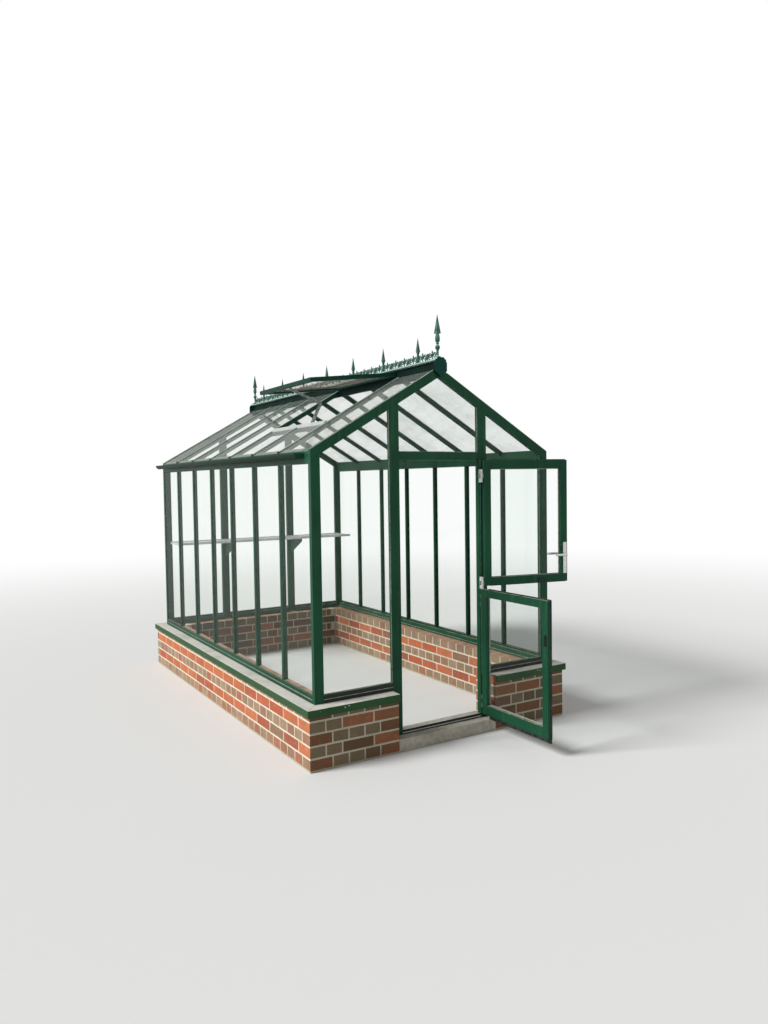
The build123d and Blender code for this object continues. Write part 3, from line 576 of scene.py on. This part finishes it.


# Ridge beam: the same coat, pale along the flat cap with dust and a painted highlight,
# nearly black below it on the web, where the cap overhangs it, as painted shade.
ridge_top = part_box("ridge_beam")[1].z
house_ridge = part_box("gable_rafters")[1].z
cap_rise = 0.040
ridge_paint, shader, place = new_finish("ridge_coat")
# Cap painted pale with dust and a painted highlight; web below painted near black as shade.
capped = place.axis(2).between(house_ridge + cap_rise, house_ridge + cap_rise + 0.005)
cap_dust_and_highlight = place.cloud(18, 4).blend((0.28, 0.44, 0.36, 1), (0.42, 0.58, 0.50, 1))
web_painted_shade = place.cloud(6, 3).blend((0.003, 0.010, 0.009, 1), (0.006, 0.022, 0.018, 1))
gable_end = place.facing(1).between(-0.5, -0.8)
covered = (1 - gable_end) * capped
colour = covered.blend(gable_end.blend(web_painted_shade, (0.012, 0.062, 0.050, 1)), cap_dust_and_highlight)
feed(shader, {"Base Color": colour, "Roughness": 0.6, "Specular IOR Level": 0.05})
soften("ridge_beam", frame_radius, ridge_paint)


# Roof bars: the same section on the slope, their caps pale with dust and a painted sheen
# of the sky, each with a dark clip over the gutter that keeps the pane from sliding.
slope_paint, shader, place = new_finish("roof_bars_dust_and_sheen")
# Upward faces painted pale: dust and a painted sky sheen.
upward = place.facing(2).between(0.3, 0.7)
cap_dust_and_sky_sheen = place.cloud(11, 4).blend((0.20, 0.34, 0.30, 1), (0.36, 0.47, 0.45, 1))
colour = (upward * 0.85).blend((0.012, 0.060, 0.036, 1), cap_dust_and_sky_sheen)
feed(shader, {"Base Color": colour, "Roughness": 0.5, "Specular IOR Level": 0.25})
dress(slope_paint, "roof_bars")
rafter_low, rafter_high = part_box("gable_rafters")
half_width, house_front, house_back = rafter_high.x, rafter_low.y, rafter_high.y
roof_pitch = radians(30)
eave_height = rafter_high.z - half_width * tan(roof_pitch)
gable_depth = 0.038
bay_count = 7
bay = (house_back - house_front - gable_depth) / bay_count
bay_lines = [house_front + gable_depth / 2 + index * bay for index in range(bay_count + 1)]
clip_half, clip_in, clip_out = 0.013, 0.006, 0.004
clip_height = (eave_height - 0.016, eave_height + 0.004)
clips = []
for side in (-1, 1):
    hook = (side * (half_width - clip_in), side * (half_width + clip_out))
    for y in bay_lines[1:-1]:
        clips.append((hook, (y - clip_half, y + clip_half), clip_height))
box_mesh("pane_clips", clips, black_paint, "house")


# Glass: 4 mm clear float panes with the faint green of their thickness, rain marks
# and a film of dust, heavier on the roof.
def new_glass(name, film_low, film_high, streaks, mirror, dust):
    """Clear glass that mirrors by the angle and carries a little pale dust."""
    material, shader, place = new_finish(name)
    mirrored = place.node("ShaderNodeFresnel", {}, {"IOR": 1.45})
    mirrored = mirrored * (1 - place.node("ShaderNodeNewGeometry", {}, {}, "Backfacing"))
    clouded = place.cloud(2.4, 5).between(0.40, 0.72)
    run = place.stretched(30, 30, 1.1).cloud(1.0, 4).between(0.55, 0.80)
    dusty = film_low + (film_high - film_low) * clouded + streaks * run
    feed(shader, {"Base Color": (0.86, 0.90, 0.88, 1), "Metallic": 1.0, "Roughness": 0.04})
    open_pane = place.node("ShaderNodeBsdfTransparent", {}, {"Color": (0.980, 0.992, 0.985, 1)})
    shine = Wire(material.node_tree, shader.outputs[0])
    film = place.node("ShaderNodeBsdfDiffuse", {}, {"Color": dust, "Roughness": 0.5})
    clean = place.node("ShaderNodeMixShader", {}, {0: mirrored * mirror, 1: open_pane, 2: shine})
    show(material, place.node("ShaderNodeMixShader", {}, {0: dusty, 1: clean, 2: film}))
    return material


wall_pane = new_glass("wall_glass_clear", 0.003, 0.010, 0.008, 0.40, (0.62, 0.61, 0.58, 1))
roof_pane = new_glass("roof_glass_dusty", 0.10, 0.20, 0.08, 0.35, (0.44, 0.46, 0.42, 1))
# The vent pane's heavy pinkish film: dust and a painted reflection.
vent_pane_film_and_reflection = new_glass("vent_glass_dust_and_reflection", 0.20, 0.32, 0.06, 0.15, (0.56, 0.44, 0.39, 1))
dress(wall_pane, "wall_glass", "front_gable_glass", "back_gable_glass")
dress(wall_pane, "upper_leaf_glass", "lower_leaf_glass")
dress(roof_pane, "roof_glass")
dress(vent_pane_film_and_reflection, "vent_glass")


# Gaskets: rubber wedges pressed in round each pane, on its outer face. Those of the
# gables and the roof have faded to pale grey; those of the side walls are a darker copy, painted shade.
strip, proud = 0.005, 0.0022
bar_half = 0.014
patches = (60, 4, 0.40, 0.70)
gasket_paint = worn_finish("grey_gasket", (0.40, 0.42, 0.38), (0.20, 0.22, 0.19), patches, 0.7, specular=0.2)
# Side wall gaskets: a darker copy of the grey gasket, painted shade.
wall_gasket_painted_shade = worn_finish("wall_gasket_dark_shade", (0.13, 0.17, 0.14), (0.06, 0.08, 0.065), patches, 0.7,
                            specular=0.1)


def beside_bar(index):
    """The two edges of a bar at a bay line, or the inner edge of a gable, for a strip."""
    y = bay_lines[index]
    half = bar_half if 0 < index < bay_count else gable_depth / 2
    before = [(-1, y - half - strip)] if index > 0 else []
    after = [(1, y + half)] if index < bay_count else []
    return before + after


pane_low, pane_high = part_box("wall_glass")
wall_strips = []
for side in (-1, 1):
    face = side * pane_high.x
    skin = (face, face + side * proud)
    for index in range(bay_count + 1):
        for _, y in beside_bar(index):
            wall_strips.append((skin, (y, y + strip), (pane_low.z, pane_high.z)))
    for z in (pane_low.z, pane_high.z - strip):
        wall_strips.append((skin, (pane_low.y, pane_high.y), (z, z + strip)))
box_mesh("wall_gaskets", wall_strips, wall_gasket_painted_shade, "house")

gable_low, gable_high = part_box("front_gable_glass")
transom_low, transom_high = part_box("door_transom")
post_inner, post_outer = transom_high.x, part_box("door_posts")[1].x
rafter_deep = 0.065 / cos(roof_pitch)
back_pane = 0.012


def under_rafter(x):
    """Height of the rafter's underside at a distance from the centre line."""
    return rafter_high.z - x * tan(roof_pitch) - rafter_deep


gable_strips = []
for y, foot in ((gable_low.y - proud, transom_high.z), (house_back - back_pane, gable_low.z)):
    skin = (y, y + proud)
    for side in (-1, 1):
        sill_run = (side * post_outer, side * gable_high.x)
        gable_strips.append((sill_run, skin, (gable_low.z, gable_low.z + strip)))
        for x, inward in ((post_outer, 1), (gable_high.x, -1)):
            edge = (side * x, side * (x + inward * strip))
            gable_strips.append((edge, skin, (gable_low.z, under_rafter(x))))
    gable_strips.append(((-post_inner, post_inner), skin, (foot, foot + strip)))
    for side in (-1, 1):
        edge = (side * post_inner, side * (post_inner - strip))
        gable_strips.append((edge, skin, (foot, under_rafter(post_inner))))
box_mesh("gable_gaskets", gable_strips, gasket_paint, "house")


# Beads: thin lips along the rails, the rafters and the hinge post, painted pale as highlights,
# black strips on the rails as painted shade, and the roof's gaskets.
bead_high, bead_proud, bead_rise = 0.003, 0.0015, 0.0255
# Pale bead and lip finishes: painted highlights.
bead_highlight_paint = worn_finish("bead_painted_highlight", (0.52, 0.58, 0.53), (0.24, 0.33, 0.27), (40, 4, 0.35, 0.7), 0.42,
                         specular=0.3)
lip_highlight_paint = worn_finish("lip_painted_highlight", (0.10, 0.24, 0.18), (0.18, 0.33, 0.26), (30, 4, 0.35, 0.7), 0.42,
                        specular=0.3)
rail_low, rail_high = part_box("base_rails_sides")
rail_wide, rail_end = 0.054, 0.02
outer_line = (rail_low.z + bead_rise, rail_low.z + bead_rise + bead_high)
inner_line = (rail_low.z + 0.009, rail_low.z + 0.012)
beads = []
for side in (-1, 1):
    outer = (side * half_width, side * (half_width + bead_proud))
    beads.append((outer, (rail_low.y, rail_high.y), outer_line))
    for y, out in ((house_front, -1), (house_back, 1)):
        beads.append(((side * post_outer, side * gable_high.x), (y, y + out * bead_proud), outer_line))
    inner = (side * (half_width - rail_wide), side * (half_width - rail_wide - bead_proud))
    beads.append((inner, (rail_low.y + rail_end, rail_high.y - rail_end), inner_line))
box_mesh("rail_beads", beads, bead_highlight_paint, "house")

lip_ends = ((post_inner + 0.011, post_inner + 0.020), (house_front - 0.0010, house_front))
box_mesh("hinge_post_lip", [(*lip_ends, (rail_low.z, transom_low.z))], lip_highlight_paint, "house")

# Black bands on the rails' outer faces: painted shade.
front_shade_bands, side_shade_bands = ((0.002, 0.024), (0.030, 0.049)), ((0.0003, 0.0050), (0.0335, 0.0370))
front_ends = ((post_outer, gable_high.x), (house_front - 0.0012, house_front))
side_ends = ((half_width, half_width + 0.0010), (rail_low.y, rail_high.y))
painted_shade_strips = []
for (x_ends, y_ends), shade_bands in ((front_ends, front_shade_bands), (side_ends, side_shade_bands)):
    for side in (-1, 1):
        for low, high in shade_bands:
            painted_shade_strips.append(([side * x for x in x_ends], y_ends, (rail_low.z + low, rail_low.z + high)))
box_mesh("rail_weather_strips", painted_shade_strips, black_paint, "house")

slope_length = half_width / cos(roof_pitch)
web_edge, cap_edge = 0.024 / cos(roof_pitch), 0.075 / cos(roof_pitch)
vent_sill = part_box("vent_sill_bar")
vent_foot = -vent_sill[0].x / cos(roof_pitch)
vent_edges = ((1, 1), (2, -1), (2, 1), (3, -1))
roof_skin, roof_proud, edge_wide = -0.0053, 0.0018, 0.006
for side, word in ((-1, "left"), (1, "right")):
    tilt = Matrix.Translation((0, 0, rafter_high.z)) @ Matrix.Rotation(side * roof_pitch, 4, "Y")
    roof_strips = []
    for index in range(bay_count + 1):
        for out, y in beside_bar(index):
            head = vent_foot if side < 0 and (index, out) in vent_edges else web_edge
            run = (side * head, side * slope_length)
            roof_strips.append((run, (y, y + strip), (roof_skin, roof_skin + roof_proud)))
    box_mesh(f"roof_gaskets_{word}", roof_strips, gasket_paint, "house", tilt)
    run = (side * cap_edge, side * slope_length)
    edge_beads = [(run, (y, y + edge_wide), (0.0, roof_proud)) for y in (house_front, house_back - edge_wide)]
    box_mesh(f"rafter_beads_{word}", edge_beads, bead_highlight_paint, "house", tilt)


# Roof vent: a light aluminium frame hung under the ridge cap, coated darker as painted shade,
# and its opener, dull grey arms on three pins and a piston tube, over a pale sill bar with painted shade on
# its lower half.
# Vent coat: a darker copy of the frame coat, painted shade.
vent_shade_coat, shader, place = new_finish("vent_coat_painted_shade")
upward = place.facing(2).between(0.5, 0.95)
coat = place.cloud(5, 3).blend((0.008, 0.036, 0.026, 1), (0.014, 0.062, 0.042, 1))
coat = (upward * 0.8).blend(coat, (0.10, 0.20, 0.15, 1))
feed(shader, {"Base Color": coat, "Roughness": 0.5, "Specular IOR Level": 0.08})
soften("vent_frame", frame_radius, vent_shade_coat)
sill_paint, shader, place = new_finish("pale_sill_bar_shaded")
sill_tone_and_shade = place.cloud(25, 4).blend((0.62, 0.65, 0.62, 1), (0.40, 0.44, 0.41, 1))
bar_foot, bar_height = vent_sill[0].z, vent_sill[1].z - vent_sill[0].z
# Lower half of the sill bar painted near black: painted shade.
lower_half_shade = place.axis(2).between(bar_foot + 0.62 * bar_height, bar_foot + 0.38 * bar_height)
sill_tone_and_shade = lower_half_shade.blend(sill_tone_and_shade, (0.030, 0.036, 0.034, 1))
feed(shader, {"Base Color": sill_tone_and_shade, "Roughness": 0.7, "Specular IOR Level": 0.15})
dress(sill_paint, "vent_sill_bar")
arm_paint = worn_finish("dull_grey_arms", (0.34, 0.37, 0.365), (0.15, 0.175, 0.17), (50, 4, 0.38, 0.68), 0.45,
                        metal=0.35)
dress(arm_paint, "vent_opener")


# Shelf: bare aluminium slats across the back gable, dulled by handling, on two
# brackets that are coated like the frame and fixed to its mullions.
shelf_paint = worn_finish("shelf_aluminium", (0.74, 0.76, 0.76), (0.55, 0.57, 0.57), (12, 5, 0.35, 0.7),
                          0.40, 0.2, metal=0.2)
dress(shelf_paint, "back_shelf")
dress(frame_paint, "shelf_brackets")


# Ridge cresting: cast aluminium, pairs of C scrolls that curl in towards a spear, lower
# spears between the pairs, and a square spike over the middle of each bay.
cast_paint, shader, place = new_finish("cast_green")
pooled = place.cloud(20, 4).between(0.4, 0.7)
cast = pooled.blend((0.022, 0.090, 0.070, 1), (0.075, 0.200, 0.155, 1))
# Faces that look up painted pale teal: a painted highlight.
painted_highlight_rim = place.facing(2).between(0.1, 0.7)
cast = (painted_highlight_rim * 0.85).blend(cast, (0.34, 0.54, 0.46, 1))
feed(shader, {"Base Color": cast, "Roughness": 0.45, "Specular IOR Level": 0.3})
feed(shader, {"Normal": place.bump(place.cloud(300, 3), 0.3, 0.0006)})
crest_per_bay = 4
crest_count = bay_count * crest_per_bay
crest_unit = bay / crest_per_bay
strip_high, strip_half = 0.013, 0.004
scroll_apart, scroll_lift, scroll_steps = 0.030, 0.002, 22
scroll_out, scroll_in, scroll_turn = 0.0255, 0.007, 1.45
bar_thick, bar_thin, bar_deep = 0.0070, 0.25, 0.0036
eye_half, eye_widths, eye_deep = Vector((0, 0, 0.004)), (0.003, 0.009, 0.003), bar_deep * 1.3
crest_foot = ridge_top - 0.015 + 0.0003
clear_of_finial = 0.050
spear = ((0.0078, 0.005), (0.047, 0.0045), (0.051, 0.009), (0.055, 0.0055), (0.063, 0.013), (0.077, 0.0012))
low_spear = ((0.008, 0.005), (0.042, 0.0045), (0.046, 0.009), (0.050, 0.0055), (0.058, 0.012),
             (0.064, 0.0012))
neck = ((0.008, 0.009), (0.030, 0.009), (0.034, 0.014), (0.080, 0.009), (0.084, 0.020), (0.094, 0.022))
neck_deep = 0.008
spike_foot, spike_tip, spike_half = 0.094, 0.204, 0.0125


def join_rings(shell, rings, smooth=False):
    """Faces from each ring of points to the next. A ring may be one point."""
    for near, far in zip(rings, rings[1:]):
        count = max(len(near), len(far))
        for k in range(count):
            after = (k + 1) % count
            loop = (near[k % len(near)], near[after % len(near)], far[after % len(far)], far[k % len(far)])
            shell.faces.new(list(dict.fromkeys(loop))).smooth = smooth


def add_bar(shell, rings, smooth=False):
    """A bar through rings of points, closed at both ends."""
    join_rings(shell, rings, smooth)
    shell.faces.new(reversed(rings[0]))
    shell.faces.new(rings[-1])


def way_along(line, index):
    """Direction of a line at one of its points."""
    return (line[min(index + 1, len(line) - 1)] - line[max(index - 1, 0)]).normalized()


def add_band(shell, line, widths, deep):
    """A flat bar that follows a line in the Y Z plane."""
    rings = []
    for index, point in enumerate(line):
        way = way_along(line, index)
        side, out = Vector((0, -way.z, way.y)) * widths[index] / 2, Vector((deep, 0, 0))
        offsets = (side + out, out - side, -side - out, side - out)
        rings.append([shell.verts.new(point + offset) for offset in offsets])
    add_bar(shell, rings)


def add_rod(shell, foot, profile, deep):
    """An upright flat bar whose width follows a profile of heights and widths."""
    line = [foot + Vector((0, 0, height)) for height, _ in profile]
    add_band(shell, line, [width for _, width in profile], deep)


def add_spike(shell, foot, squares, tip_height):
    """A slender pyramid on squares, each given by its half width and its height."""
    rings = []
    for half, height in squares:
        rings.append([shell.verts.new(foot + Vector((x * half, y * half, height))) for x, y in square])
    rings.append([shell.verts.new(foot + Vector((0, 0, tip_height)))])
    join_rings(shell, rings)
    shell.faces.new(reversed(rings[0]))


crest_shell = bmesh.new()
for side in (-1, 1):
    centre = Vector((0, side * scroll_apart, strip_high + scroll_out + scroll_lift))
    curl, widths = [], []
    for index in range(scroll_steps + 1):
        share = index / scroll_steps
        radius = scroll_out + (scroll_in - scroll_out) * share
        angle = -pi / 2 + 2 * pi * scroll_turn * share
        curl.append(centre + Vector((0, side * radius * cos(angle), radius * sin(angle))))
        widths.append(bar_thick * (1 - bar_thin * share))
    add_band(crest_shell, curl, widths, bar_deep)
    add_band(crest_shell, [curl[-1] - eye_half, curl[-1], curl[-1] + eye_half], eye_widths, eye_deep)
add_rod(crest_shell, Vector(), spear, bar_deep)
bmesh.ops.recalc_face_normals(crest_shell, faces=crest_shell.faces)
crest_guide = bpy.data.objects.new("crest_unit", mesh_from(crest_shell, "crest_unit"))

wires = new_recipe("crest_lengths", {**recipe_sizes, "Scroll": "NodeSocketObject"})
unit = wires["Geometry"].node("GeometryNodeObjectInfo", {}, {"Object": wires["Scroll"]}, "Geometry")
crest_recipe = serve(placed(wires, unit), wires["Finish"])
crest_places = [(0, bay_lines[0] + (index + 0.5) * crest_unit, crest_foot) for index in range(crest_count)]
crest_points = point_mesh(crest_places, [(1, 1, 1)] * crest_count, [(0, 0, 0)] * crest_count)
crest_sizes = {"Slip": 0.0, "Seed": 3, "Finish": cast_paint, "Scroll": crest_guide}
scrolls = cook("cresting_scrolls", crest_recipe, crest_points, crest_sizes, "house")
bpy.data.objects.remove(crest_guide)
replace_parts(scrolls, "ridge_cresting")

spike_shell = bmesh.new()
run_ends = (house_front + clear_of_finial, house_back - clear_of_finial)
foot_line = [Vector((0, y, crest_foot + strip_high / 2)) for y in run_ends]
add_band(spike_shell, foot_line, (strip_high, strip_high), strip_half)
for index in range(1, crest_count):
    foot = Vector((0, bay_lines[0] + index * crest_unit, crest_foot))
    if index % crest_per_bay == crest_per_bay // 2:
        add_rod(spike_shell, foot, neck, neck_deep)
        add_spike(spike_shell, foot, ((spike_half, spike_foot),), spike_tip)
    else:
        add_rod(spike_shell, foot, low_spear, bar_deep)
bmesh.ops.recalc_face_normals(spike_shell, faces=spike_shell.faces)
add_piece("cresting_spikes", mesh_from(spike_shell, "cresting_spikes", cast_paint), "house")


# Finials: cast aluminium stems with a bulb, a ring and a knob, and a square spike on
# top, coated like the cresting and bolted to the plate on each end of the ridge.
finial_low, finial_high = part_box("finials")
stem_profile = (
    (0.0, 0.000), (0.0245, 0.000), (0.0248, 0.004), (0.0235, 0.008), (0.0145, 0.011), (0.0095, 0.018),
    (0.0080, 0.028), (0.0085, 0.048), (0.0110, 0.058), (0.0165, 0.066), (0.0182, 0.075), (0.0165, 0.085),
    (0.0105, 0.093), (0.0080, 0.098), (0.0080, 0.101), (0.0135, 0.103), (0.0135, 0.106), (0.0090, 0.109),
    (0.0100, 0.113), (0.0160, 0.119), (0.0178, 0.130), (0.0178, 0.144), (0.0165, 0.156), (0.0130, 0.168),
    (0.0130, 0.1765), (0.0, 0.1765),
)
foot_radius = max(radius for radius, _ in stem_profile)
tip_squares = ((0.019, 0.177), (0.0175, 0.183))
tip_height = finial_high.z - finial_low.z - 0.0002
turned_sides, small_face = 24, 0.00012
angles = [2 * pi * k / turned_sides for k in range(turned_sides)]
finial_shell = bmesh.new()
for y in (finial_low.y + foot_radius, finial_high.y - foot_radius):
    foot = Vector((0, y, finial_low.z))
    rings = []
    for radius, z in stem_profile:
        around = angles if radius else angles[:1]
        spots = [foot + Vector((radius * cos(angle), radius * sin(angle), z)) for angle in around]
        rings.append([finial_shell.verts.new(spot) for spot in spots])
    join_rings(finial_shell, rings)
    add_spike(finial_shell, foot, tip_squares, tip_height)
bmesh.ops.recalc_face_normals(finial_shell, faces=finial_shell.faces)
for face in finial_shell.faces:
    face.smooth = face.calc_area() < small_face
finial_mesh = mesh_from(finial_shell, "turned_finials", cast_paint)
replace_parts(add_piece("turned_finials", finial_mesh, "house"), "finials")


# Door leaves: stiles with rails between them, coated like the frame, a fine dark seam at
# each joint and gaskets on both sides of the pane; black strips close the free edges.
leaf_radius = 0.0018
soften("upper_leaf_frame", leaf_radius, frame_paint, "upper_leaf")
soften("lower_leaf_frame", leaf_radius, frame_paint, "lower_leaf")
joints = {joint_row["name"]: joint_row for joint_row in frame["record"]["behaviour"]["joints"]}
pin = Vector(joints["upper_leaf_hinge"]["pos_m"])
leaf_edge, leaf_wide, stile, leaf_thick, leaf_gap = 0.011, 0.716, 0.055, 0.040, 0.006
leaf_right = pin.x - leaf_edge
leaf_left = leaf_right - leaf_wide
leaf_out, leaf_in = house_front - leaf_gap - leaf_thick, house_front - leaf_gap
pane_edge = (leaf_left + stile, leaf_right - stile)
wedge_faces = ((leaf_out + 0.0028, leaf_out + 0.005), (leaf_out + 0.009, leaf_out + 0.0112))
seam_faces = ((leaf_out - 0.0002, leaf_out + 0.001), (leaf_in - 0.001, leaf_in + 0.0002))
seam_wide, seam_in, seam_clear = 0.0006, 0.002, 0.001
upper_open, lower_open = radians(167), radians(90)


def swung(angle):
    """Turn about the hinge pins, from shut to how far a leaf stands open."""
    pivot = Vector((pin.x, pin.y, 0))
    return Matrix.Translation(pivot) @ Matrix.Rotation(angle, 4, "Z") @ Matrix.Translation(-pivot)


for leaf, angle, foot_rail, head_rail in (("upper_leaf", upper_open, 0.060, 0.066),
                                          ("lower_leaf", lower_open, 0.074, 0.056)):
    low_z, high_z = (corner.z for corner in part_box(f"{leaf}_frame"))
    z_low, z_high = low_z + foot_rail, high_z - head_rail
    wedges, seams = [], []
    for skin in wedge_faces:
        for z in (z_low, z_high - strip):
            wedges.append((pane_edge, skin, (z, z + strip)))
        for x in (pane_edge[0], pane_edge[1] - strip):
            wedges.append(((x, x + strip), skin, (z_low, z_high)))
    box_mesh(f"{leaf}_gaskets", wedges, gasket_paint, leaf, swung(angle))
    for skin in seam_faces:
        for x in (pane_edge[0], pane_edge[1] - seam_wide):
            for ends in ((low_z + seam_in, z_low - seam_clear), (z_high + seam_clear, high_z - seam_in)):
                seams.append(((x, x + seam_wide), skin, ends))
    box_mesh(f"{leaf}_seams", seams, black_paint, leaf, swung(angle))
rubber_paint = worn_finish("dusty_rubber", (0.010, 0.010, 0.010), (0.055, 0.052, 0.045), (45, 5, 0.42, 0.7),
                           0.75)
dress(rubber_paint, "lower_leaf_seals", "upper_leaf_seals")


# Hinges: extruded barrels on plates. Those of the upper leaf have a light grey coat,
# those of the lower leaf were coated green with the frame.
grey_from = 1.09
hinge_paint, shader, place = new_finish("coated_hinge")
rubbed = place.cloud(80, 4).between(0.45, 0.7)
pale = rubbed.blend((0.64, 0.66, 0.65, 1), (0.46, 0.48, 0.47, 1))
mossy = rubbed.blend((0.014, 0.080, 0.040, 1), (0.030, 0.110, 0.060, 1))
raised = place.axis(2).between(grey_from, grey_from + 0.01)
feed(shader, {"Base Color": raised.blend(mossy, pale), "Roughness": 0.38, "Specular IOR Level": 0.4})
dress(hinge_paint, "post_hinges", "upper_leaf_hinges", "lower_leaf_hinges")
lower_foot, lower_head = (corner.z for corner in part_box("lower_leaf_frame"))
upper_foot, upper_head = (corner.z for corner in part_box("upper_leaf_frame"))
hinge_heights = (lower_foot + 0.088, lower_head - 0.088, upper_foot + 0.017, upper_head - 0.118)
plate_x, plate_y, screw_apart = pin.x + 0.0135, house_front - 0.004, 0.034
hinge_heads = [(plate_x, plate_y, z + rise) for z in hinge_heights for rise in (-screw_apart, screw_apart)]
set_screws("hinge_screws", hinge_heads, front_turn, "house")


# Handle: satin steel lever on a long back plate, on both faces of the upper leaf; the
# slide bolt below it and the latch of the lower leaf are black.
steel_paint = worn_finish("satin_steel", (0.66, 0.66, 0.65), (0.50, 0.50, 0.49), (120, 3, 0.4, 0.7),
                          0.26, 0.14, metal=0.8)
spindle_x, lever_z = leaf_left + 0.025, Vector(joints["lever_turn"]["pos_m"]).z
lever_stand, lever_long, elbow, elbow_steps = 0.048, 0.106, 0.016, 6
plate_thick, plate_below, plate_above, screw_in = 0.008, 0.149, 0.096, 0.014
rose_gap, rose = 0.0004, ((0.0, 0.0140), (0.004, 0.0130), (0.0045, 0.0085))
neck_radius, flatter = 0.0085, 0.0001
grip = ((0.35, 0.0074, 0.0095), (0.75, 0.0066, 0.0092), (0.97, 0.0058, 0.0085), (1.0, 0.0030, 0.0055))
spindle_radius, spindle_in = 0.0045, 0.001
sides_round = 16


def add_tube(shell, path, place):
    """A round or flattened level bar, by its places and its radii across and up."""
    line = [Vector((x, y, lever_z)) for x, y, _, _ in path]
    rings = []
    for index, (_, _, wide, tall) in enumerate(path):
        side = way_along(line, index).cross(Vector((0, 0, 1)))
        ring = []
        for k in range(sides_round):
            angle = 2 * pi * k / sides_round
            offset = side * wide * cos(angle) + Vector((0, 0, tall * sin(angle)))
            ring.append(shell.verts.new(place @ (line[index] + offset)))
        rings.append(ring)
    add_bar(shell, rings, smooth=True)


upper_swing = swung(upper_open)
lever_shell = bmesh.new()
for face, out in ((leaf_in, 1), (leaf_out, -1)):
    rose_foot = face + out * (plate_thick + rose_gap)
    path = [(spindle_x, rose_foot + out * rise, radius, radius) for rise, radius in rose]
    bend_x, bend_y = spindle_x + elbow, face + out * (lever_stand - elbow)
    for step in range(elbow_steps + 1):
        angle = pi - step * pi / 2 / elbow_steps
        x, y = bend_x + elbow * cos(angle), bend_y + elbow * out * sin(angle)
        path.append((x, y, neck_radius - flatter * step, neck_radius + flatter * step))
    for share, wide, tall in grip:
        path.append((bend_x + share * (lever_long - elbow), face + out * lever_stand, wide, tall))
    add_tube(lever_shell, path, upper_swing)
through = (leaf_out - plate_thick - spindle_in, leaf_in + plate_thick + spindle_in)
add_tube(lever_shell, [(spindle_x, y, spindle_radius, spindle_radius) for y in through], upper_swing)
bmesh.ops.recalc_face_normals(lever_shell, faces=lever_shell.faces)
lever_mesh = mesh_from(lever_shell, "bent_levers", steel_paint)
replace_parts(add_piece("bent_levers", lever_mesh, "lever"), "lever_handles")
screw_heights = (lever_z - plate_below + screw_in, lever_z + plate_above - screw_in)
for word, y, aim in (("inside", leaf_in + plate_thick, -pi / 2), ("outside", leaf_out - plate_thick, pi / 2)):
    heads = [upper_swing @ Vector((spindle_x, y, z)) for z in screw_heights]
    set_screws(f"plate_screws_{word}", heads, (aim, 0, upper_open), "upper_leaf")
soften("handle_plates", 0.0015, steel_paint, "upper_leaf")
dress(black_paint, "lower_latch", "upper_leaf_bolt")
